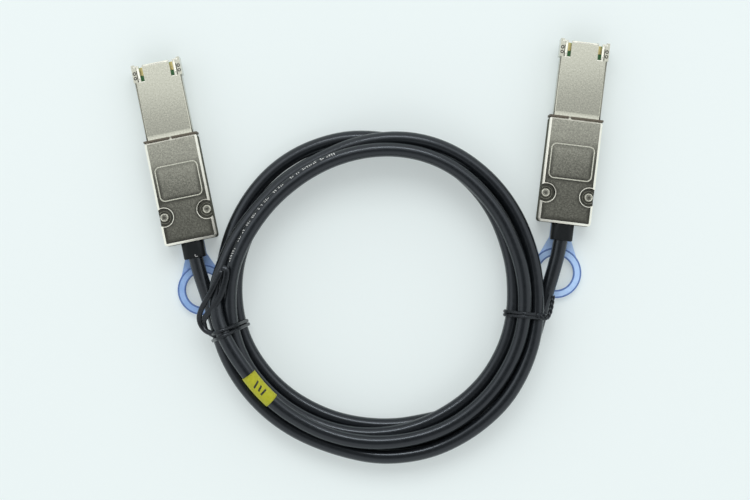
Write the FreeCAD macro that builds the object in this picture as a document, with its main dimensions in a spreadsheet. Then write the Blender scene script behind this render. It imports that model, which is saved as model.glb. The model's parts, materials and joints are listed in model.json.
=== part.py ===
import FreeCAD, Part
import math
import os
import re
import Sketcher

# External mini SAS cable, lying flat: two plugs with pull tabs and one coiled round cable.
# A plug's own frame has X across it, Y from its rear face towards its mouth and Z up from the
# floor. The latch side lies down. Lengths are in millimetres and angles in degrees.

SIZES = {
    # where each plug's rear face is, and how far the plug turns about Z
    "left_x": -72.08,
    "left_y": -25.71,
    "left_turn": 11.5,
    "right_x": 77.82,
    "right_y": -18.51,
    "right_turn": -6.9,
    # die-cast backshell
    "shell_width": 21.4,
    "shell_length": 42.4,
    "shell_height": 11.4,
    "shell_wall": 1.4,
    "shell_corner": 1.2,
    "edge_bevel": 0.9,
    "parting_height": 6.5,
    "cavity_floor": 3.1,
    "cavity_width": 18.6,
    "throat_width": 8.0,
    "throat_length": 17.0,
    "fit_gap": 0.05,
    # raised frame on the cover
    "frame_width": 17.7,
    "frame_length": 14.4,
    "frame_corner": 2.2,
    "frame_rim": 0.55,
    "frame_height": 0.25,
    "frame_setback": 10.4,
    # shell screws in their open recesses
    "screw_offset": 8.7,
    "screw_inset": 11.6,
    "recess_radius": 3.7,
    "recess_depth": 2.4,
    "recess_bevel": 0.3,
    "seat_radius": 2.5,
    "seat_depth": 3.0,
    "head_radius": 1.7,
    "head_height": 1.3,
    "socket_radius": 0.6,
    "socket_depth": 0.8,
    "shank_radius": 1.0,
    "shank_length": 5.6,
    # nose tube and its captive flange
    "nose_width": 18.6,
    "nose_drop": 1.4,
    "nose_length": 31.1,
    "nose_level": 2.0,
    "nose_wall": 0.8,
    "nose_corner": 0.5,
    "flange_thick": 1.2,
    "flange_lip": 0.5,
    "key_offset": 6.15,
    "key_width": 1.4,
    "key_length": 6.5,
    # stop ears beside the nose's mouth
    "ear_reach": 0.6,
    "ear_ahead": 0.6,
    "ear_length": 6.6,
    "ear_level": 3.0,
    "slit_offset": 8.05,
    "slit_width": 0.3,
    "slit_depth": 0.5,
    "dimple_offset": 8.9,
    "dimple_setback": 2.6,
    "dimple_radius": 0.55,
    "dimple_depth": 0.4,
    # gasket ring in front of the backshell
    "collar_width": 21.9,
    "collar_inset": 0.3,
    "collar_thick": 0.7,
    "joint_gap": 0.9,
    "left_joint": 0.1,
    "right_joint": -2.7,
    # paddle card and its gold fingers
    "card_width": 16.4,
    "card_thick": 1.0,
    "card_setback": 0.5,
    "card_bevel": 0.3,
    "pad_pitch": 0.8,
    "pad_width": 0.5,
    "ground_offset": 6.15,
    "ground_width": 2.0,
    "pad_length": 2.9,
    "pad_thick": 0.08,
    "pad_setback": 0.4,
    # wires behind the card
    "block_length": 8.3,
    "block_width": 16.0,
    "block_gap": 1.0,
    "fan_radius": 2.5,
    "fan_width": 7.0,
    "fan_height": 3.4,
    # pull tab, lying just clear of the floor
    "tab_lift": 0.3,
    "tab_gap": 0.3,
    "tab_travel": 2.4,
    "strap_width": 8.6,
    "strap_thick": 1.8,
    "strap_reach": 20.5,
    "web_thick": 1.0,
    "web_start": 5.5,
    "ring_outer": 10.3,
    "ring_inner": 7.0,
    "ring_thick": 2.1,
    "ring_reach": 20.0,
    "ring_round": 0.6,
    "channel_height": 2.4,
    # steel link between strap and latch
    "link_thick": 0.45,
    "link_width": 8.4,
    "link_bar": 1.0,
    "bar_setback": 0.8,
    "tongue_width": 5.2,
    "tongue_length": 5.5,
    "window_width": 5.6,
    "window_length": 6.2,
    # latch rocker, its pin and hooks
    "hinge_ahead": 3.4,
    "hinge_level": 2.6,
    "pin_radius": 0.6,
    "knuckle_radius": 1.05,
    "latch_width": 15.2,
    "latch_plate": 3.6,
    "latch_thick": 0.5,
    "latch_gap": 0.4,
    "arm_offset": 5.6,
    "arm_width": 2.2,
    "hook_ahead": 15.0,
    "hook_drop": 1.25,
    "hook_tip": 0.7,
    "hook_length": 3.0,
    "tail_width": 4.8,
    "tail_flat": 3.7,
    "tail_fall": 1.75,
    "tail_valley": 6.5,
    "tail_rise": 1.14,
    "tail_length": 11.3,
    # cable, its boot and its crimp
    "cable_radius": 2.9,
    "cable_level": 6.5,
    "boot_width": 8.9,
    "boot_height": 7.0,
    "boot_length": 6.8,
    "boot_corner": 2.4,
    "boot_round": 0.6,
    "neck_radius": 3.5,
    "ferrule_radius": 3.35,
    "ferrule_start": 1.7,
    "ferrule_length": 4.8,
    "lead_end": 3.5,
    # coil of the cable's turns, wider at the bottom of the loop than at its top
    "coil_x": 3.42,
    "coil_y": -47.71,
    "coil_outer": 67.9,
    "coil_inner": 53.2,
    "coil_offset": 4.3,
    "coil_height": 16.5,
    "coil_round": 4.0,
    # twist ties round the coil
    "left_tie_turn": 192.0,
    "right_tie_turn": 352.8,
    "tie_width": 4.4,
    "tie_thick": 0.5,
    "tie_gap": 0.15,
    "tie_round": 2.4,
    "groove_reach": 30.0,
    # marker label on the coil
    "label_turn": 217.9,
    "label_reach": 60.5,
    "label_length": 14.5,
    "label_width": 6.1,
    "label_thick": 0.25,
}

FINGERS = 11
SIDES = ("left", "right")

# Places along a plug and levels above the floor that several pieces share
NOSE_REAR = "(shell_length - shell_wall - flange_thick)"
TIP = "(shell_length + nose_length)"
NOSE_TOP = "(shell_height - nose_drop)"
NOSE_MIDDLE = "((nose_level + shell_height - nose_drop) / 2)"
CAVITY_TOP = "(shell_height - shell_wall)"
CHANNEL_HALF = "(strap_width / 2 + tab_gap)"
HINGE = "(shell_length + hinge_ahead)"
BLOCK_REAR = "(throat_length + fit_gap)"
CARD_REAR = "(throat_length + fit_gap + block_length)"
CARD_TIP = "(shell_length + nose_length - card_setback)"
STRAP_TOP = "(tab_lift + strap_thick)"
LINK_LEVEL = "(tab_lift + strap_thick - link_thick)"
LATCH_UNDER = "(hinge_level - latch_thick / 2)"
LATCH_OVER = "(hinge_level + latch_thick / 2)"

# The leads' routes from inside each plug to the coil, chosen by hand
LEAD_POINTS = {
    "left": [
        (-72.78, -22.28, 6.5),
        (-70.39, -34.04, 6.5),
        (-66.58, -45.42, 6.1),
        (-62.30, -57.00, 5.4),
    ],
    "right": [
        (78.24, -15.04, 6.5),
        (76.80, -26.95, 6.5),
        (73.62, -39.02, 6.1),
        (69.92, -50.72, 5.7),
    ],
}
RUN_SHARE = 0.45
TOLERANCE = 1e-4
UP = FreeCAD.Vector(0, 0, 1)

doc = FreeCAD.newDocument("mini_sas_cable")
sheet = doc.addObject("Spreadsheet::Sheet", "dims")
for row, (alias, size) in enumerate(SIZES.items(), start=1):
    sheet.set(f"A{row}", alias)
    sheet.set(f"B{row}", str(size))
    sheet.setAlias(f"B{row}", alias)
doc.recompute()

nodes = []


def ref(text):
    """Name the sheet before each alias in an expression."""
    return re.sub(r"[a-z][a-z_]+", lambda found: f"dims.{found[0]}" if found[0] in SIZES else found[0], text)


def value(text):
    """The number that an expression stands for."""
    return float(sheet.evalExpression(ref(text)))


def bind(item, **properties):
    """Tie an object's properties to the sheet."""
    for name, text in properties.items():
        item.setExpression(name, ref(text))


def place(item, x, y, turn, z="0"):
    """Give an object a place in the row's frame and a turn about Z."""
    item.Placement = FreeCAD.Placement(FreeCAD.Vector(), FreeCAD.Rotation(UP, 1))
    for path, text in (("Base.x", x), ("Base.y", y), ("Base.z", z), ("Rotation.Angle", turn)):
        item.setExpression(f"Placement.{path}", ref(text))


def keep(item, label):
    """Put an object on the list of sub-parts."""
    item.Label = label
    nodes.append(item)
    return item


def plug_piece(item, side, name):
    """A sub-part of one plug, placed with that plug."""
    place(item, f"{side}_x", f"{side}_y", f"{side}_turn")
    return keep(item, f"{side}_{name}")


def new_body(name):
    return doc.addObject("PartDesign::Body", name)


def sketch(body, role, level="0"):
    """A sketch on one of a body's own planes, lifted along that plane's normal."""
    item = body.newObject("Sketcher::SketchObject", "outline")
    item.AttachmentSupport = [(next(f for f in body.Origin.OriginFeatures if f.Role == role), "")]
    item.MapMode = "FlatFace"
    item.setExpression("AttachmentOffset.Base.z", ref(level))
    return item


def flat(body, level="0"):
    """A sketch seen from above: its axes are X and Y."""
    return sketch(body, "XY_Plane", level)


def section(body, along="0"):
    """A sketch across the plug: its axes are X and Z, and it faces the plug's rear."""
    return sketch(body, "XZ_Plane", f"-({along})")


def side_view(body):
    """A sketch on the plug's middle plane: its axes are Y and Z."""
    return sketch(body, "YZ_Plane")


def fix_point(outline, geometry, end, x, y):
    """Hold a point of a sketch at a place bound to the sheet."""
    for kind, text in (("DistanceX", x), ("DistanceY", y)):
        number = outline.addConstraint(Sketcher.Constraint(kind, geometry, end, value(text)))
        outline.setExpression(f"Constraints[{number}]", ref(text))


def fix_radius(outline, geometry, radius):
    number = outline.addConstraint(Sketcher.Constraint("Radius", geometry, value(radius)))
    outline.setExpression(f"Constraints[{number}]", ref(radius))


def point(x, y):
    return FreeCAD.Vector(value(x), value(y), 0)


def polygon(outline, corners):
    """A closed outline of straight lines."""
    count = len(corners)
    first = outline.GeometryCount
    for index, corner in enumerate(corners):
        following = corners[(index + 1) % count]
        outline.addGeometry(Part.LineSegment(point(*corner), point(*following)))
    for index, corner in enumerate(corners):
        line = first + index
        outline.addConstraint(Sketcher.Constraint("Coincident", line, 2, first + (index + 1) % count, 1))
        fix_point(outline, line, 1, *corner)
    return outline


def rectangle(outline, x_low, y_low, x_high, y_high):
    return polygon(outline, [(x_low, y_low), (x_high, y_low), (x_high, y_high), (x_low, y_high)])


def centred(outline, width, y_low, y_high):
    """A rectangle that is symmetric about the plug's middle plane."""
    return rectangle(outline, f"-({width}) / 2", y_low, f"({width}) / 2", y_high)


def rounded(outline, x_low, y_low, x_high, y_high, radius):
    """A closed rectangle whose corners are tangent arcs."""
    first = outline.GeometryCount
    size = value(radius)
    left = f"{x_low} + ({radius})"
    right = f"{x_high} - ({radius})"
    bottom = f"{y_low} + ({radius})"
    top = f"{y_high} - ({radius})"
    centres = [(right, top), (left, top), (left, bottom), (right, bottom)]
    arcs = []
    for quarter, centre in enumerate(centres):
        start = quarter * math.pi / 2
        arcs.append(Part.ArcOfCircle(Part.Circle(point(*centre), UP, size), start, start + math.pi / 2))
    for index, arc in enumerate(arcs):
        outline.addGeometry(arc)
        outline.addGeometry(Part.LineSegment(arc.EndPoint, arcs[(index + 1) % 4].StartPoint))
    for index, centre in enumerate(centres):
        arc = first + 2 * index
        following = first + 2 * ((index + 1) % 4)
        fix_point(outline, arc, 3, *centre)
        fix_radius(outline, arc, radius)
        outline.addConstraint(Sketcher.Constraint("Tangent", arc, 2, arc + 1, 1))
        outline.addConstraint(Sketcher.Constraint("Tangent", arc + 1, 2, following, 1))
    return outline


def circle(outline, x, y, radius):
    number = outline.addGeometry(Part.Circle(point(x, y), UP, value(radius)))
    fix_point(outline, number, 3, x, y)
    fix_radius(outline, number, radius)
    return outline


def feature(body, kind, outline, length, along_normal):
    """A pad or pocket of a sketch, towards where the sketch faces or away from there."""
    item = body.newObject(f"PartDesign::{kind}", kind.lower())
    item.Profile = outline
    item.Reversed = along_normal == (kind == "Pocket")
    item.setExpression("Length", ref(length))
    outline.Visibility = False
    return item


def pad(body, outline, length, along_normal=True):
    return feature(body, "Pad", outline, length, along_normal)


def pad_both(body, outline, width):
    """A pad that grows to both sides of its sketch."""
    item = pad(body, outline, width)
    item.SideType = "Symmetric"
    return item


def pocket(body, outline, depth, along_normal=False):
    return feature(body, "Pocket", outline, depth, along_normal)


def pocket_through(body, outline):
    """A hole right through, to both sides of its sketch."""
    item = pocket(body, outline, "1")
    item.SideType = "Symmetric"
    item.Type = "ThroughAll"
    return item


def edges_of(item, wanted):
    """Names of the edges whose box passes a test."""
    doc.recompute()
    return [f"Edge{n}" for n, edge in enumerate(item.Shape.Edges, start=1) if wanted(edge.BoundBox)]


def dress(body, kind, base, size, wanted):
    """A fillet or chamfer on chosen edges of a feature."""
    names = edges_of(base, wanted)
    item = body.newObject(f"PartDesign::{kind}", kind.lower())
    item.Base = (base, names)
    item.setExpression("Radius" if kind == "Fillet" else "Size", ref(size))
    return item


def near(first, second):
    return abs(first - second) < TOLERANCE


def upright(box):
    return box.ZLength > TOLERANCE and near(box.XLength, 0) and near(box.YLength, 0)


def lengthwise(box):
    return box.YLength > TOLERANCE and near(box.XLength, 0) and near(box.ZLength, 0)


def at_level(text):
    """A test for edges that lie at one height."""
    level = value(text)
    return lambda box: near(box.ZMin, level) and near(box.ZMax, level)


def at_place(text):
    """A test for edges that lie at one place along the plug."""
    along = value(text)
    return lambda box: near(box.YMin, along) and near(box.YMax, along)


def shell_block(body, low, high, rim_level):
    """The outer block of a shell half, with round corners and a bevel on its outer face."""
    outline = centred(flat(body, low), "shell_width", "0", "shell_length")
    block = pad(body, outline, f"{high} - {low}")
    corners = dress(body, "Fillet", block, "shell_corner", upright)
    return dress(body, "Chamfer", corners, "edge_bevel", at_level(rim_level))


def shell_hollow(body, cavity_depth, seat_depth, groove_depth, upward):
    """The room inside a shell half, its seat for the nose and the groove for the nose's flange."""
    cavity = flat(body, "parting_height")
    throat = "throat_width / 2"
    room = "cavity_width / 2"
    polygon(cavity, [
        (f"-{throat}", "shell_wall"), (throat, "shell_wall"),
        (throat, "throat_length"), (room, "throat_length"),
        (room, NOSE_REAR), (f"-{room}", NOSE_REAR),
        (f"-{room}", "throat_length"), (f"-{throat}", "throat_length"),
    ])
    pocket(body, cavity, cavity_depth, upward)
    seat = flat(body, "parting_height")
    centred(seat, "nose_width + 2 * fit_gap", f"{NOSE_REAR} - fit_gap", "shell_length")
    pocket(body, seat, seat_depth, upward)
    groove = flat(body, "parting_height")
    groove_width = "nose_width + 2 * flange_lip + 2 * fit_gap"
    centred(groove, groove_width, f"{NOSE_REAR} - fit_gap", f"{NOSE_REAR} + flange_thick + fit_gap")
    pocket(body, groove, groove_depth, upward)
    neck = circle(section(body), "0", "cable_level", "neck_radius + fit_gap")
    pocket(body, neck, "ferrule_start + ferrule_length + fit_gap")


def both_screws(outline, radius):
    for sign in ("", "-"):
        circle(outline, f"{sign}screw_offset", "screw_inset", radius)
    return outline


def cover_half(side):
    """The visible half of the backshell, with its frame and screw recesses."""
    body = new_body("cover_half")
    shell_block(body, "parting_height", "shell_height", "shell_height")
    shell_hollow(
        body,
        f"{CAVITY_TOP} - parting_height",
        f"{NOSE_TOP} + fit_gap - parting_height",
        f"{NOSE_TOP} + flange_lip + fit_gap - parting_height",
        True,
    )
    recess = pocket(body, both_screws(flat(body, "shell_height"), "recess_radius"), "recess_depth")
    on_top = at_level("shell_height")
    low = value("screw_inset - recess_radius") - TOLERANCE
    high = value("screw_inset + recess_radius") + TOLERANCE
    dress(
        body, "Chamfer", recess, "recess_bevel",
        lambda box: on_top(box) and box.XLength > TOLERANCE and low < box.YMin and box.YMax < high,
    )
    pocket(body, both_screws(flat(body, "shell_height"), "seat_radius"), "seat_depth")
    pocket_through(body, both_screws(flat(body, "shell_height"), "shank_radius + fit_gap"))
    front = "(shell_length - frame_setback)"
    rim = flat(body, "shell_height")
    for inset in ("0", "frame_rim"):
        rounded(
            rim, f"-frame_width / 2 + {inset}", f"{front} - frame_length + {inset}",
            f"frame_width / 2 - {inset}", f"{front} - {inset}", f"frame_corner - {inset}",
        )
    pad(body, rim, "frame_height")
    return plug_piece(body, side, "cover_half")


def latch_half(side):
    """The floor-side half of the backshell, with the channel for strap and latch tail."""
    body = new_body("latch_half")
    shell_block(body, "0", "parting_height", "0")
    shell_hollow(
        body,
        "parting_height - cavity_floor",
        "parting_height - nose_level + fit_gap",
        "parting_height - nose_level + flange_lip + fit_gap",
        False,
    )
    channel = centred(flat(body), f"2 * {CHANNEL_HALF}", "0", "shell_length")
    pocket(body, channel, "channel_height", True)
    threads = both_screws(flat(body, "parting_height"), "shank_radius + fit_gap")
    pocket(body, threads, "shank_length - (shell_height - seat_depth - parting_height) + fit_gap")
    return plug_piece(body, side, "latch_half")


def nose_shell(side):
    """The rectangular tube that goes into the socket."""
    body = new_body("nose_shell")
    tube = centred(section(body, NOSE_REAR), "nose_width", "nose_level", NOSE_TOP)
    block = pad(body, tube, f"{TIP} - {NOSE_REAR}", False)
    rounded = dress(body, "Fillet", block, "nose_corner", lengthwise)
    dress(body, "Fillet", rounded, "nose_wall / 2", at_place(TIP))
    for sign in ("", "-"):
        ear = flat(body, "ear_level")
        rectangle(
            ear, f"{sign}(nose_width / 2 - nose_wall)", f"{TIP} - ear_length",
            f"{sign}(nose_width / 2 + ear_reach)", f"{TIP} + ear_ahead",
        )
        pad(body, ear, f"{NOSE_TOP} - ear_level")
    flange = section(body, NOSE_REAR)
    centred(flange, "nose_width + 2 * flange_lip", "nose_level - flange_lip", f"{NOSE_TOP} + flange_lip")
    pad(body, flange, "flange_thick", False)
    inside = section(body, NOSE_REAR)
    centred(inside, "nose_width - 2 * nose_wall", "nose_level + nose_wall", f"{NOSE_TOP} - nose_wall")
    pocket(body, inside, f"{TIP} - {NOSE_REAR}")
    keys = flat(body, NOSE_TOP)
    for sign in ("", "-"):
        rectangle(
            keys, f"{sign}key_offset - key_width / 2", f"{TIP} - key_length",
            f"{sign}key_offset + key_width / 2", f"{TIP} + fit_gap",
        )
    pocket(body, keys, "nose_wall + fit_gap")
    slits = flat(body, NOSE_TOP)
    dimples = flat(body, NOSE_TOP)
    for sign in ("", "-"):
        rectangle(
            slits, f"{sign}slit_offset - slit_width / 2", f"{TIP} - ear_length",
            f"{sign}slit_offset + slit_width / 2", f"{TIP} + fit_gap",
        )
        circle(dimples, f"{sign}dimple_offset", f"{TIP} - dimple_setback", "dimple_radius")
    pocket(body, slits, "slit_depth")
    pocket(body, dimples, "dimple_depth")
    latch_windows(body)
    pivot = circle(side_view(body), HINGE, "hinge_level", "pin_radius + fit_gap")
    pocket_through(body, pivot)
    return plug_piece(body, side, "nose_shell")


def latch_windows(body):
    """Openings in the nose's floor side for the latch's plate, arms and tail."""
    depth = "nose_wall + flange_lip + fit_gap"
    under = "nose_level - flange_lip"
    plate_front = f"{HINGE} + latch_plate + latch_gap"
    plate = flat(body, under)
    centred(plate, "latch_width + 2 * latch_gap", f"{HINGE} - knuckle_radius - latch_gap", plate_front)
    pocket(body, plate, depth, True)
    arms = flat(body, under)
    half = "(arm_width / 2 + latch_gap)"
    for sign in ("", "-"):
        rectangle(
            arms, f"{sign}arm_offset - {half}", f"{plate_front} - latch_gap",
            f"{sign}arm_offset + {half}", f"{HINGE} + hook_ahead + hook_length + latch_gap",
        )
    pocket(body, arms, depth, True)
    tail = flat(body, under)
    centred(tail, "tail_width + 2 * latch_gap", NOSE_REAR, HINGE)
    pocket(body, tail, depth, True)


def emi_collar(side):
    """The gasket ring that closes the gap round the nose."""
    body = new_body("emi_collar")
    ring = section(body, "shell_length")
    centred(ring, "collar_width", "collar_inset", "shell_height - collar_inset")
    plate = pad(body, ring, "collar_thick", False)
    dress(body, "Fillet", plate, "shell_corner", lengthwise)
    opening = section(body, "shell_length")
    centred(
        opening, "nose_width + 2 * fit_gap", "nose_level - fit_gap", f"{NOSE_TOP} + fit_gap",
    )
    pocket(body, opening, "collar_thick")
    joint = flat(body, "shell_height - collar_inset")
    rectangle(
        joint, f"{side}_joint - joint_gap / 2", "shell_length - fit_gap",
        f"{side}_joint + joint_gap / 2", "shell_length + collar_thick + fit_gap",
    )
    pocket(body, joint, "shell_height / 2 - collar_inset")
    return plug_piece(body, side, "emi_collar")


def paddle_card(side):
    """The circuit board whose front edge is the plug's contact."""
    body = new_body("paddle_card")
    board = flat(body, f"{NOSE_MIDDLE} - card_thick / 2")
    centred(board, "card_width", CARD_REAR, CARD_TIP)
    plate = pad(body, board, "card_thick")
    across = at_place(CARD_TIP)
    dress(body, "Chamfer", plate, "card_bevel", lambda box: across(box) and box.XLength > TOLERANCE)
    return plug_piece(body, side, "paddle_card")


def contact_pads(side):
    """Gold fingers in two rows, with a wider ground finger at each end of a row."""
    places = [(f"{n} * pad_pitch", "pad_width") for n in range(-(FINGERS // 2), FINGERS // 2 + 1)]
    places += [("ground_offset", "ground_width"), ("-ground_offset", "ground_width")]
    levels = (f"{NOSE_MIDDLE} + card_thick / 2", f"{NOSE_MIDDLE} - card_thick / 2 - pad_thick")
    fingers = []
    for level in levels:
        for offset, width in places:
            finger = doc.addObject("Part::Box", "finger")
            bind(finger, Length=width, Width="pad_length", Height="pad_thick")
            finger.setExpression("Placement.Base.x", ref(f"{offset} - {width} / 2"))
            finger.setExpression("Placement.Base.y", ref(f"{CARD_TIP} - pad_setback - pad_length"))
            finger.setExpression("Placement.Base.z", ref(level))
            fingers.append(finger)
    group = doc.addObject("Part::Compound", "contact_pads")
    group.Links = fingers
    return plug_piece(group, side, "contact_pads")


def latch(side):
    """The sheet-metal rocker: knuckle and plate, two hooked arms and a bent tail."""
    body = new_body("latch")
    knuckle = circle(side_view(body), HINGE, "hinge_level", "knuckle_radius")
    pad_both(body, knuckle, "latch_width")
    plate = rectangle(side_view(body), HINGE, LATCH_UNDER, f"{HINGE} + latch_plate", LATCH_OVER)
    pad_both(body, plate, "latch_width")
    tail = side_view(body)
    valley = "(hinge_level - tail_fall)"
    end = "(hinge_level - tail_fall + tail_rise)"
    path = [
        (HINGE, "hinge_level"), (f"{HINGE} - tail_flat", "hinge_level"),
        (f"{HINGE} - tail_valley", valley), (f"{HINGE} - tail_length", end),
    ]
    under = [(along, f"{level} - latch_thick / 2") for along, level in path]
    over = [(along, f"{level} + latch_thick / 2") for along, level in reversed(path)]
    polygon(tail, under + over)
    pad_both(body, tail, "tail_width")
    hook = f"{HINGE} + hook_ahead"
    arm = side_view(body)
    polygon(arm, [
        (f"{HINGE} + latch_plate / 2", LATCH_UNDER), (hook, LATCH_UNDER),
        (hook, f"{LATCH_UNDER} - hook_drop"), (f"{hook} + hook_tip", f"{LATCH_UNDER} - hook_drop"),
        (f"{hook} + hook_length", LATCH_UNDER), (f"{hook} + hook_length", LATCH_OVER),
        (f"{HINGE} + latch_plate / 2", LATCH_OVER),
    ])
    arm.setExpression("AttachmentOffset.Base.z", ref("arm_offset - arm_width / 2"))
    one_arm = pad(body, arm, "arm_width")
    mirrored = body.newObject("PartDesign::Mirrored", "mirrored")
    mirrored.Originals = [one_arm]
    middle = next(f for f in body.Origin.OriginFeatures if f.Role == "YZ_Plane")
    mirrored.MirrorPlane = (middle, [""])
    body.Tip = mirrored
    pocket_through(body, circle(side_view(body), HINGE, "hinge_level", "pin_radius + fit_gap"))
    return plug_piece(body, side, "latch")


def latch_pin(side):
    """The rod through the nose's side walls that the latch rocks on."""
    body = new_body("latch_pin")
    pad_both(body, circle(side_view(body), HINGE, "hinge_level", "pin_radius"), "nose_width - fit_gap")
    return plug_piece(body, side, "latch_pin")


def pull_link(side):
    """The steel frame whose bar runs along the latch's tail and presses it down."""
    body = new_body("pull_link")
    shoulder = "strap_reach"
    front = f"({HINGE} - tail_valley - bar_setback)"
    plate = flat(body, LINK_LEVEL)
    tongue = "tongue_width / 2"
    half = "link_width / 2"
    polygon(plate, [
        (f"-{tongue}", f"{shoulder} - tongue_length"), (tongue, f"{shoulder} - tongue_length"),
        (tongue, shoulder), (half, shoulder), (half, front), (f"-{half}", front),
        (f"-{half}", shoulder), (f"-{tongue}", shoulder),
    ])
    pad(body, plate, "link_thick")
    window = centred(
        flat(body, LINK_LEVEL), "window_width", f"{front} - link_bar - window_length", f"{front} - link_bar",
    )
    pocket(body, window, "link_thick", True)
    return plug_piece(body, side, "pull_link")


def teardrop(outline, radius):
    """The web's outline: from the strap's corners, tangent to a circle round the ring's centre."""
    half = value("strap_width / 2")
    start = value("-web_start")
    centre = FreeCAD.Vector(0, value("-ring_reach"), 0)
    size = value(radius)
    reach = math.hypot(half, start - centre.y)
    lean = math.atan2(start - centre.y, half) - math.acos(size / reach)
    touch = FreeCAD.Vector(size * math.cos(lean), centre.y + size * math.sin(lean), 0)
    mirror = FreeCAD.Vector(-touch.x, touch.y, 0)
    corner = FreeCAD.Vector(half, start, 0)
    other = FreeCAD.Vector(-half, start, 0)
    round_end = Part.Circle(centre, UP, size)
    outline.addGeometry(Part.LineSegment(other, corner))
    outline.addGeometry(Part.LineSegment(corner, touch))
    outline.addGeometry(Part.ArcOfCircle(round_end, math.pi - lean, 2 * math.pi + lean))
    outline.addGeometry(Part.LineSegment(mirror, other))
    outline.addConstraint(Sketcher.Constraint("Coincident", 0, 2, 1, 1))
    outline.addConstraint(Sketcher.Constraint("Coincident", 3, 2, 0, 1))
    outline.addConstraint(Sketcher.Constraint("Tangent", 1, 2, 2, 2))
    outline.addConstraint(Sketcher.Constraint("Tangent", 3, 1, 2, 1))
    fix_point(outline, 0, 1, "-strap_width / 2", "-web_start")
    fix_point(outline, 0, 2, "strap_width / 2", "-web_start")
    fix_point(outline, 2, 3, "0", "-ring_reach")
    fix_radius(outline, 2, radius)
    return outline


def pull_tab(side):
    """The moulded strap with its flat web and finger ring."""
    body = new_body("pull_tab")
    ring = circle(flat(body, "tab_lift"), "0", "-ring_reach", "ring_outer")
    circle(ring, "0", "-ring_reach", "ring_inner")
    band = pad(body, ring, "ring_thick")
    dress(body, "Fillet", band, "ring_round", lambda box: near(box.ZLength, 0))
    web = teardrop(flat(body, "tab_lift + (strap_thick - web_thick) / 2"), "ring_outer - ring_round")
    circle(web, "0", "-ring_reach", "ring_inner + ring_round")
    pad(body, web, "web_thick")
    strap = centred(flat(body, "tab_lift"), "strap_width", "-web_start - ring_thick / 2", "strap_reach")
    pad(body, strap, "strap_thick")
    recess = centred(flat(body, STRAP_TOP), "tongue_width", "strap_reach - tongue_length", "strap_reach")
    pocket(body, recess, "link_thick")
    return plug_piece(body, side, "pull_tab")


def shell_screws(side):
    """The pair of screws that hold the two shell halves together."""
    screws = []
    floor = "(shell_height - seat_depth)"
    for sign in ("", "-"):
        head = doc.addObject("Part::Cylinder", "screw_head")
        bind(head, Radius="head_radius", Height="head_height")
        shank = doc.addObject("Part::Cylinder", "screw_shank")
        bind(shank, Radius="shank_radius", Height="shank_length")
        socket = doc.addObject("Part::Prism", "screw_socket")
        socket.Polygon = 6
        bind(socket, Circumradius="socket_radius", Height="socket_depth")
        levels = (
            (head, floor), (shank, f"{floor} - shank_length"),
            (socket, f"{floor} + head_height - socket_depth"),
        )
        for item, level in levels:
            item.setExpression("Placement.Base.x", ref(f"{sign}screw_offset"))
            item.setExpression("Placement.Base.y", ref("screw_inset"))
            item.setExpression("Placement.Base.z", ref(level))
        solid = doc.addObject("Part::Fuse", "screw_blank")
        solid.Base = head
        solid.Tool = shank
        solid.Refine = True
        screw = doc.addObject("Part::Cut", "screw")
        screw.Base = solid
        screw.Tool = socket
        screws.append(screw)
    pair = doc.addObject("Part::Compound", "shell_screws")
    pair.Links = screws
    return plug_piece(pair, side, "shell_screws")


def boot(side):
    """The sleeve behind the backshell, with a neck through its rear wall."""
    body = new_body("boot")
    sleeve = section(body)
    centred(sleeve, "boot_width", "cable_level - boot_height / 2", "cable_level + boot_height / 2")
    block = pad(body, sleeve, "boot_length")
    rounded = dress(body, "Fillet", block, "boot_corner", lengthwise)
    dress(body, "Fillet", rounded, "boot_round", at_place("-boot_length"))
    neck = circle(section(body), "0", "cable_level", "neck_radius")
    pad(body, neck, "shell_wall", False)
    pocket_through(body, circle(section(body), "0", "cable_level", "cable_radius"))
    return plug_piece(body, side, "boot")


def crimp_ferrule(side):
    """The crimped ring on the cable's end."""
    body = new_body("crimp_ferrule")
    ring = circle(section(body, "ferrule_start"), "0", "cable_level", "ferrule_radius")
    circle(ring, "0", "cable_level", "cable_radius")
    pad(body, ring, "ferrule_length", False)
    return plug_piece(body, side, "crimp_ferrule")


def conductor_fan(side):
    """The wire pairs, spreading from the round cable to the flat card."""
    body = new_body("conductor_fan")
    bundle = circle(section(body, "lead_end + fit_gap"), "0", "cable_level", "fan_radius")
    spread = section(body, BLOCK_REAR)
    centred(spread, "fan_width", "cable_level - fan_height / 2", "cable_level + fan_height / 2")
    fan = body.newObject("PartDesign::AdditiveLoft", "fan")
    fan.Profile = bundle
    fan.Sections = [spread]
    fan.Ruled = True
    return plug_piece(body, side, "conductor_fan")


def wire_block(side):
    """The moulded block round the soldered wires, standing on the shell's floor."""
    body = new_body("wire_block")
    base = centred(flat(body, "cavity_floor"), "block_width", BLOCK_REAR, CARD_REAR)
    pad(body, base, f"{CAVITY_TOP} - cavity_floor - block_gap")
    return plug_piece(body, side, "wire_block")


def ring_place(side, reach):
    """A point behind a plug on its axis, in the row's frame."""
    turn = f"{side}_turn"
    return f"{side}_x + ({reach}) * sin({turn})", f"{side}_y - ({reach}) * cos({turn})"


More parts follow.
